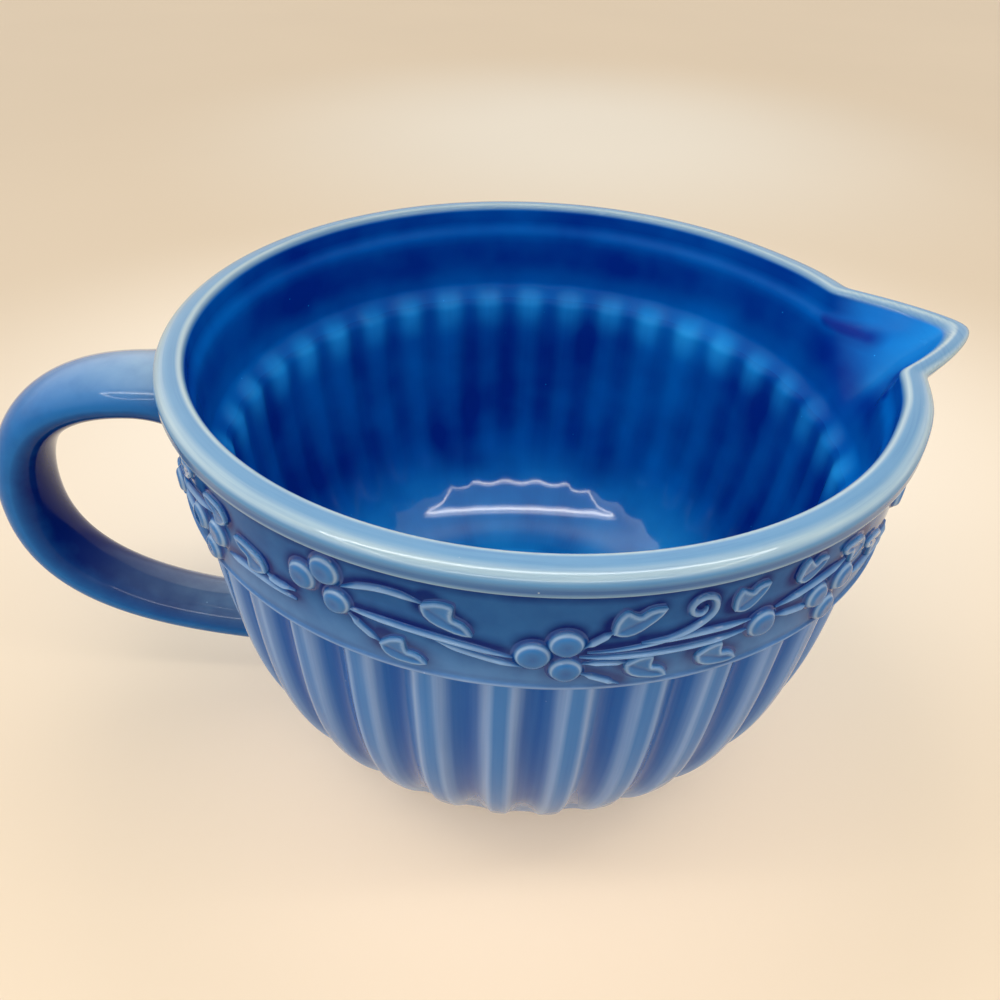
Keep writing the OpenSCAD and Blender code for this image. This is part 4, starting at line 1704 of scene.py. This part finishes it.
    def _berry_points(self, side: Side) -> bpy.types.Mesh:
        """Sets out one repeat's berries, each turned and sized a little differently."""
        places = self.berry_places(side)
        index = np.arange(len(places))
        size = 1.0 + self.berry_size_drift * np.sin(2.4 * index + side.value)
        oval = size * (1.0 + self.berry_oval * np.cos(1.7 * index))
        stretches = np.stack([size, oval, np.ones_like(size)], axis=1)
        return self._point_mesh(places, 1.9 * index + side.value, stretches)

    def _leaf_points(self, side: Side) -> bpy.types.Mesh:
        """Sets out one repeat's leaves, each stretched from its base to its tip."""
        lines = np.array(self.leaf_lines(side))
        run = lines[:, 1] - lines[:, 0]
        length = np.linalg.norm(run, axis=1)
        stretches = np.stack([length, np.ones_like(length), np.ones_like(length)], axis=1)
        return self._point_mesh(lines[:, 0], np.arctan2(run[:, 1], run[:, 0]), stretches)

    def _berry_mesh(self) -> bpy.types.Mesh:
        """Makes a berry: a dome with a dimple on top and a foot that runs out on the band.

        Returns:
            A closed mesh, lying flat at the origin.
        """
        radius, high = self.berry_d / 2, self.berry_h
        share = np.concatenate([np.linspace(0.02, 0.8, 12), np.linspace(0.83, 1.0, 8)])
        dome = high * (1.0 - share**self.dome_flat) ** self.dome_round
        dome = dome - self.dimple * high * bump_at(share, 0.0, self.dimple_w)
        dome = np.maximum(dome, self.dome_foot * high * smooth(1.35, 0.9, share))
        foot = np.linspace(0.0, 1.0, 7)[1:]
        run_out = self.dome_share + foot * (self.skirt / radius + 0.02)
        reach = radius * np.concatenate([share * self.dome_share, run_out])
        height = np.concatenate([dome, dome[-1] * (1.0 - foot) ** self.skirt_power])
        rows = [np.append(reach, [reach[-1], reach[0]]), np.append(height, [-self.sunk] * 2)]
        section = np.stack(rows, axis=1)
        angles = full_turn(self.berry_sides)
        mesh = loft("berry", turned(section, angles), True)
        over = section[:, 0] / radius
        thin = self.berry_thin * bump_at(over, 0.83, 0.06)
        middle = self.dimple_pool * bump_at(over, 0.0, 0.45)
        pool = np.maximum(middle, self.skirt_pool * smooth(0.9, 1.02, over))
        keep(mesh, THIN_AND_LIT, np.tile(thin, len(angles)))
        keep(mesh, POOL_AND_SHADE, np.tile(pool, len(angles)))
        return mesh

    def _leaf_mesh(self) -> bpy.types.Mesh:
        """Makes a vine leaf one unit long: two lobes, a rounded raised edge and a sunk middle.

        Returns:
            A closed mesh, lying flat with its base at the origin and its tip along X.
        """
        along = 0.5 - 0.5 * np.cos(np.linspace(0.0, math.pi, self.leaf_rows))
        across = np.sin(np.linspace(-math.pi / 2, math.pi / 2, self.leaf_columns))
        left, right = (self._leaf_side(points, along) for points in (self.leaf_left, self.leaf_right))
        wide = np.where(across[None] > 0, left[:, None], right[:, None])
        x = np.repeat(along[:, None], len(across), axis=1)
        y = across[None] * wide
        edge = np.concatenate([np.stack([along, left], 1), np.stack([along, -right], 1)[::-1]])
        edge = edge * np.array([self.leaf_length, 1.0])
        points = np.stack([x * self.leaf_length, y], axis=-1)
        inset = np.min(np.linalg.norm(points[:, :, None] - edge[None, None], axis=-1), axis=-1)
        rise = np.sqrt(1.0 - (1.0 - np.clip(inset / self.leaf_edge_w, 0.0, 1.0)) ** 2)
        sunk = smooth(0.9 * self.leaf_edge_w, 2.2 * self.leaf_edge_w, inset)
        rib = bump_at(y, 0.0, self.rib_w) * smooth(1.2 * self.leaf_edge_w, 2.2 * self.leaf_edge_w, inset)
        form = self.leaf_edge_foot + (1.0 - self.leaf_edge_foot) * rise
        form = form - self.leaf_sink * sunk - self.leaf_sink * rib
        skirts = np.linspace(0.0, 1.0, 6)[1:]
        left_over = (1.0 - skirts) ** self.skirt_power
        low = [y[:, :1] - skirts[::-1] * self.skirt, form[:, :1] * left_over[::-1]]
        high = [y[:, -1:] + skirts * self.skirt, form[:, -1:] * left_over]
        ys = np.concatenate([low[0], y, high[0]], axis=1)
        zs = np.concatenate([low[1], form, high[1]], axis=1) * self.leaf_h
        thin = self.leaf_thin * bump_at(inset, 0.7 * self.leaf_edge_w, 0.45 * self.leaf_edge_w)
        pool = self.leaf_sunk_pool * sunk + self.rib_pool * rib
        side = np.ones((len(along), len(skirts)))
        thins = np.concatenate([0 * side, thin, 0 * side, np.zeros((len(along), 2))], axis=1)
        foot = self.leaf_foot_pool * side
        pools = np.concatenate([foot, pool, foot, np.ones((len(along), 2))], axis=1)
        ys = np.concatenate([ys, ys[:, -1:], ys[:, :1]], axis=1)
        zs = np.concatenate([zs, np.full((len(along), 2), -self.sunk)], axis=1)
        xs = np.repeat(along[:, None], ys.shape[1], axis=1)
        mesh = loft("leaf", np.stack([xs, ys, zs], axis=-1), False)
        keep(mesh, THIN_AND_LIT, thins)
        keep(mesh, POOL_AND_SHADE, pools)
        return mesh

    def _leaf_side(self, points: Sequence[Sequence[float]], along: np.ndarray) -> np.ndarray:
        """Gives a leaf's half width along it, rounded where its points turn."""
        shares = np.array(points)
        fine = np.linspace(0.0, 1.0, self.leaf_fine)
        plain = np.interp(fine, shares[:, 0], shares[:, 1])
        kernel = np.hanning(self.leaf_rounding)
        padded = np.pad(plain, self.leaf_rounding // 2, mode="edge")
        rounded = np.convolve(padded, kernel / kernel.sum(), mode="valid")
        return self.leaf_w / 2 * np.interp(along, fine, rounded)


@dataclass(frozen=True)
class PhotoCamera:
    """The camera, where it stood for the photograph, aimed from a point on the bowl's axis."""

    elevation: float = math.radians(38.099)
    roll: float = math.radians(2.4815)
    turn: float = math.radians(-4.75)
    distance: float = 0.23201
    shift_right: float = -0.01102
    shift_up: float = -0.04656
    aim_z: float = 0.1305
    focal_pixels: float = 850.0
    image_pixels: float = 1000.0
    sensor: float = 36.0
    clip_start: float = 0.01

    def build(self) -> None:
        """Makes the scene's camera."""
        back = Vector((0.0, -math.cos(self.elevation), math.sin(self.elevation)))
        up = Vector((0.0, math.sin(self.elevation), math.cos(self.elevation)))
        right = Vector((1.0, 0.0, 0.0))
        rolled_right = math.cos(self.roll) * right + math.sin(self.roll) * up
        rolled_up = math.cos(self.roll) * up - math.sin(self.roll) * right
        place_at = back * self.distance + rolled_right * self.shift_right + rolled_up * self.shift_up
        turn = Matrix.Rotation(self.turn, 3, "Z")
        pose = Matrix([turn @ v for v in (rolled_right, rolled_up, back)]).transposed().to_4x4()
        pose.translation = turn @ place_at + Vector((0.0, 0.0, self.aim_z))
        data = bpy.data.cameras.new("photo_camera")
        data.sensor_width = self.sensor
        data.lens = self.sensor * self.focal_pixels / self.image_pixels
        data.clip_start = self.clip_start
        camera = add_object("photo_camera", data)
        camera.matrix_world = pose
        bpy.context.scene.camera = camera


@dataclass(frozen=True)
class Glow:
    """A painted pool of light on the floor.

    Args:
        centre: Its middle on the floor.
        radius: How far it reaches.
        across: How much of that reach counts sideways; less makes it wider.
        colour: The light that it adds.
        core: How far out it keeps its full light.
    """

    centre: tuple[float, float]
    radius: float
    across: float
    colour: Colour
    core: float = 0.05

    def share(self, tree: NodeTree, place_at: Wire) -> Wire:
        """Gives how bright the patch is at a place, 1 in its middle."""
        x, y, _ = tree.split(place_at)
        aside, away = (x - self.centre[0]) * self.across, y - self.centre[1]
        return tree.ease(self.radius, self.core, tree.math("SQRT", aside * aside + away * away))


@dataclass(frozen=True)
class Studio:
    """A pale floor, soft light from round about, and two soft panels in front with a frame of tubes.

    The names that end in from say between which parts of a direction a region of the room begins.
    """

    paper: Colour = (0.80, 0.665, 0.505)
    backdrop: Colour = (0.74, 0.62, 0.48)
    warm: Colour = (1.0, 0.96, 0.90)
    room_strength: float = 1.2
    top_strength: float = 0.4
    right_strength: float = 0.6
    front_strength: float = 0.4
    left_strength: float = 1.6
    front_from: tuple[float, float] = (-0.45, -0.75)
    front_side_from: tuple[float, float] = (0.6, 0.4)
    left_from: tuple[float, float] = (-0.35, -0.8)
    left_top_from: tuple[float, float] = (0.8, 0.5)
    over_from: tuple[float, float] = (0.35, 0.75)
    over_front_from: tuple[float, float] = (0.0, -0.3)
    right_from: tuple[float, float] = (0.2, 0.7)
    right_top_from: tuple[float, float] = (0.25, 0.5)
    backdrop_from: tuple[float, float] = (0.3, 0.1)
    floor_half_w: float = 6.0
    floor_roughness: float = 0.9
    cloud_scale: float = 3.0
    cloud_shade: float = 0.94
    panel_ws: tuple[float, float] = (0.10, 0.07)
    panel_glow: float = 3.0
    tube_w: float = 0.016
    tube_drop: float = 0.01
    tube_glow: float = 10.0
    lamp_half_x: float = 0.32
    lamp_ys: tuple[float, float] = (-0.48, -0.13)
    lamp_z: float = 0.45
    # Painted pools of light on the floor; the last lightens the bowl's shadow under it.
    glows: tuple[Glow, ...] = (
        Glow((0.02, 0.17), 0.30, 0.75, (0.27, 0.30, 0.31)),
        Glow((0.12, 0.68), 0.42, 0.9, (0.08, 0.13, 0.16)),
        Glow((0.0, -0.03), 0.14, 1.0, (0.22, 0.16, 0.12)),
    )

    def build(self) -> None:
        """Makes the floor, the lights and the room's own light."""
        self._floor()
        self._room()
        low, high = self.lamp_ys
        middle, depth, length = (low + high) / 2, high - low, 2 * self.lamp_half_x
        for i, (y, w) in enumerate(zip(self.lamp_ys, self.panel_ws)):
            at = Vector((0.0, y, self.lamp_z))
            self._lamp(f"panel_{i}", at, (length, w), self.panel_glow)
            at = at - Vector((0.0, 0.0, self.tube_drop))
            self._lamp(f"tube_across_{i}", at, (length, self.tube_w), self.tube_glow)
        for i, x in enumerate((-self.lamp_half_x, self.lamp_half_x)):
            at = Vector((x, middle, self.lamp_z))
            self._lamp(f"tube_along_{i}", at, (self.tube_w, depth), self.tube_glow)
        bpy.context.scene.view_settings.view_transform = "Standard"

    def _lamp(self, name: str, at: Vector, size: tuple[float, float], glow: float) -> None:
        """Adds a rectangular light that shines down.

        Args:
            name: The light's name.
            at: Its middle.
            size: Its length and width.
            glow: How bright it looks, whatever its size.
        """
        data = bpy.data.lights.new(name, "AREA")
        data.shape = "RECTANGLE"
        data.size, data.size_y = size
        data.energy = math.pi * size[0] * size[1] * glow
        data.color = self.warm
        add_object(name, data).location = at

    def _floor(self) -> None:
        """Makes the floor, one flat sheet."""
        half = self.floor_half_w
        corners = [(-half, -half, 0.0), (half, -half, 0.0), (half, half, 0.0), (-half, half, 0.0)]
        mesh = bpy.data.meshes.new("pale_floor")
        mesh.from_pydata(corners, [], [(0, 1, 2, 3)])
        mesh.materials.append(self._paper())
        floor = add_object("pale_floor", mesh)

    def _paper(self) -> bpy.types.Material:
        """Makes the floor's pale paper, with painted pools of light round the bowl that the camera and
        reflections see but that light it no more.
        """
        made = bpy.data.materials.new("pale_paper")
        tree = blank_tree(made)
        place_at = tree.wire("ShaderNodeTexCoord", "Object")
        shaded = tuple(self.cloud_shade * c for c in self.paper)
        colour = tree.tint(self.paper, shaded, tree.noise(place_at, self.cloud_scale))
        seen = tree.seen_ray("Camera") + tree.seen_ray("Glossy") + tree.seen_ray("Transmission")
        light: Wire | Colour = BLACK
        for glow in self.glows:
            share = glow.share(tree, place_at) * tree.clamp(seen)
            light = tree.plus(light, tree.tint(BLACK, glow.colour, share))
        inputs = {"Base Color": colour, "Roughness": self.floor_roughness}
        inputs |= {"Emission Color": light, "Emission Strength": 1.0}
        tree.node("ShaderNodeOutputMaterial", None, {"Surface": tree.surface(inputs)})
        return made

    def _room(self) -> None:
        """Lights the room, brightest on the left and dim overhead; seen straight it is plain and pale."""
        world = bpy.data.worlds.new("room")
        tree = blank_tree(world)
        x, y, z = tree.split(tree.wire("ShaderNodeTexCoord", "Generated"))
        aside = tree.math("ABSOLUTE", x)
        front = tree.ease(*self.front_from, y) * tree.ease(*self.front_side_from, aside)
        left = tree.ease(*self.left_from, x) * tree.ease(*self.left_top_from, z)
        over = tree.ease(*self.over_from, z) * tree.ease(*self.over_front_from, y)
        right = tree.ease(*self.right_from, x) * tree.ease(*self.right_top_from, z)
        strength: Value = self.room_strength
        regions = ((self.right_strength, right), (self.top_strength, over))
        regions += ((self.front_strength, front), (self.left_strength, left))
        for level, region in regions:
            strength = tree.choose(strength, level, region)
        mirrored = tree.seen_ray("Glossy") + tree.seen_ray("Transmission")
        seen = tree.seen_ray("Camera") + mirrored * tree.ease(*self.backdrop_from, z)
        colour = tree.tint(self.warm, self.backdrop, seen)
        inputs = {"Color": colour, "Strength": tree.choose(strength, 1.0, seen)}
        shader = tree.wire("ShaderNodeBackground", 0, None, inputs)
        tree.node("ShaderNodeOutputWorld", None, {"Surface": shader})
        bpy.context.scene.world = world


def main() -> None:
    """Builds the camera, the studio and the bowl's pieces in order."""
    logging.basicConfig(level=logging.INFO, format="%(message)s")
    PhotoCamera().build()
    Studio().build()
    form = BowlForm.from_frame()
    inner = Colours((0.0, 0.14, 0.54), (0.02, 0.37, 0.85), (0.0, 0.022, 0.25))
    outer = Colours((0.04, 0.165, 0.45), (0.29, 0.42, 0.68), (0.0, 0.075, 0.34))
    pale = Colours((0.075, 0.225, 0.43), (0.34, 0.46, 0.53), (0.005, 0.075, 0.27))
    frieze = Colours((0.03, 0.14, 0.37), outer.thin, (0.0, 0.012, 0.13))
    wall_finish = Glaze(Slot.WALL, outer, inner, Streak.DOWN, roughness=0.12, ior=1.22, streak_share=1.2)
    wall_glaze = wall_finish.material()
    band_glaze = Glaze(Slot.BAND, frieze, inner, ior=1.14).material()
    rim_finish = Glaze(
        Slot.RIM,
        pale,
        inner,
        Streak.ROUND,
        roughness=0.03,
        ior=1.5,
        streak_share=1.1,
        pool_dull=0.2,
        ripple_height=0.6 * MM,
    )
    rim_glaze = rim_finish.material()
    strap = Colours((0.014, 0.135, 0.41), (0.27, 0.45, 0.62), (0.0, 0.010, 0.14))
    handle_glaze = Glaze(Slot.HANDLE, strap, ior=1.2, gloss=1.8).material()
    sprig = Colours((0.02, 0.145, 0.40), (0.33, 0.48, 0.68), (0.0, 0.03, 0.20))
    sprig_glaze = Glaze(Slot.SPRIG, sprig, ior=1.4, cloud_scale=170.0).material()
    vine = Vine(form)
    wall = FlutedWall(form)
    FootAndFloor(form).build(BareClay().material(), wall_glaze)
    wall.build(wall_glaze)
    RimAndBand(form, wall).build(vine, band_glaze, rim_glaze)
    Handle(form).build(handle_glaze)
    vine.build(sprig_glaze)


if __name__ == "__main__":
    main()
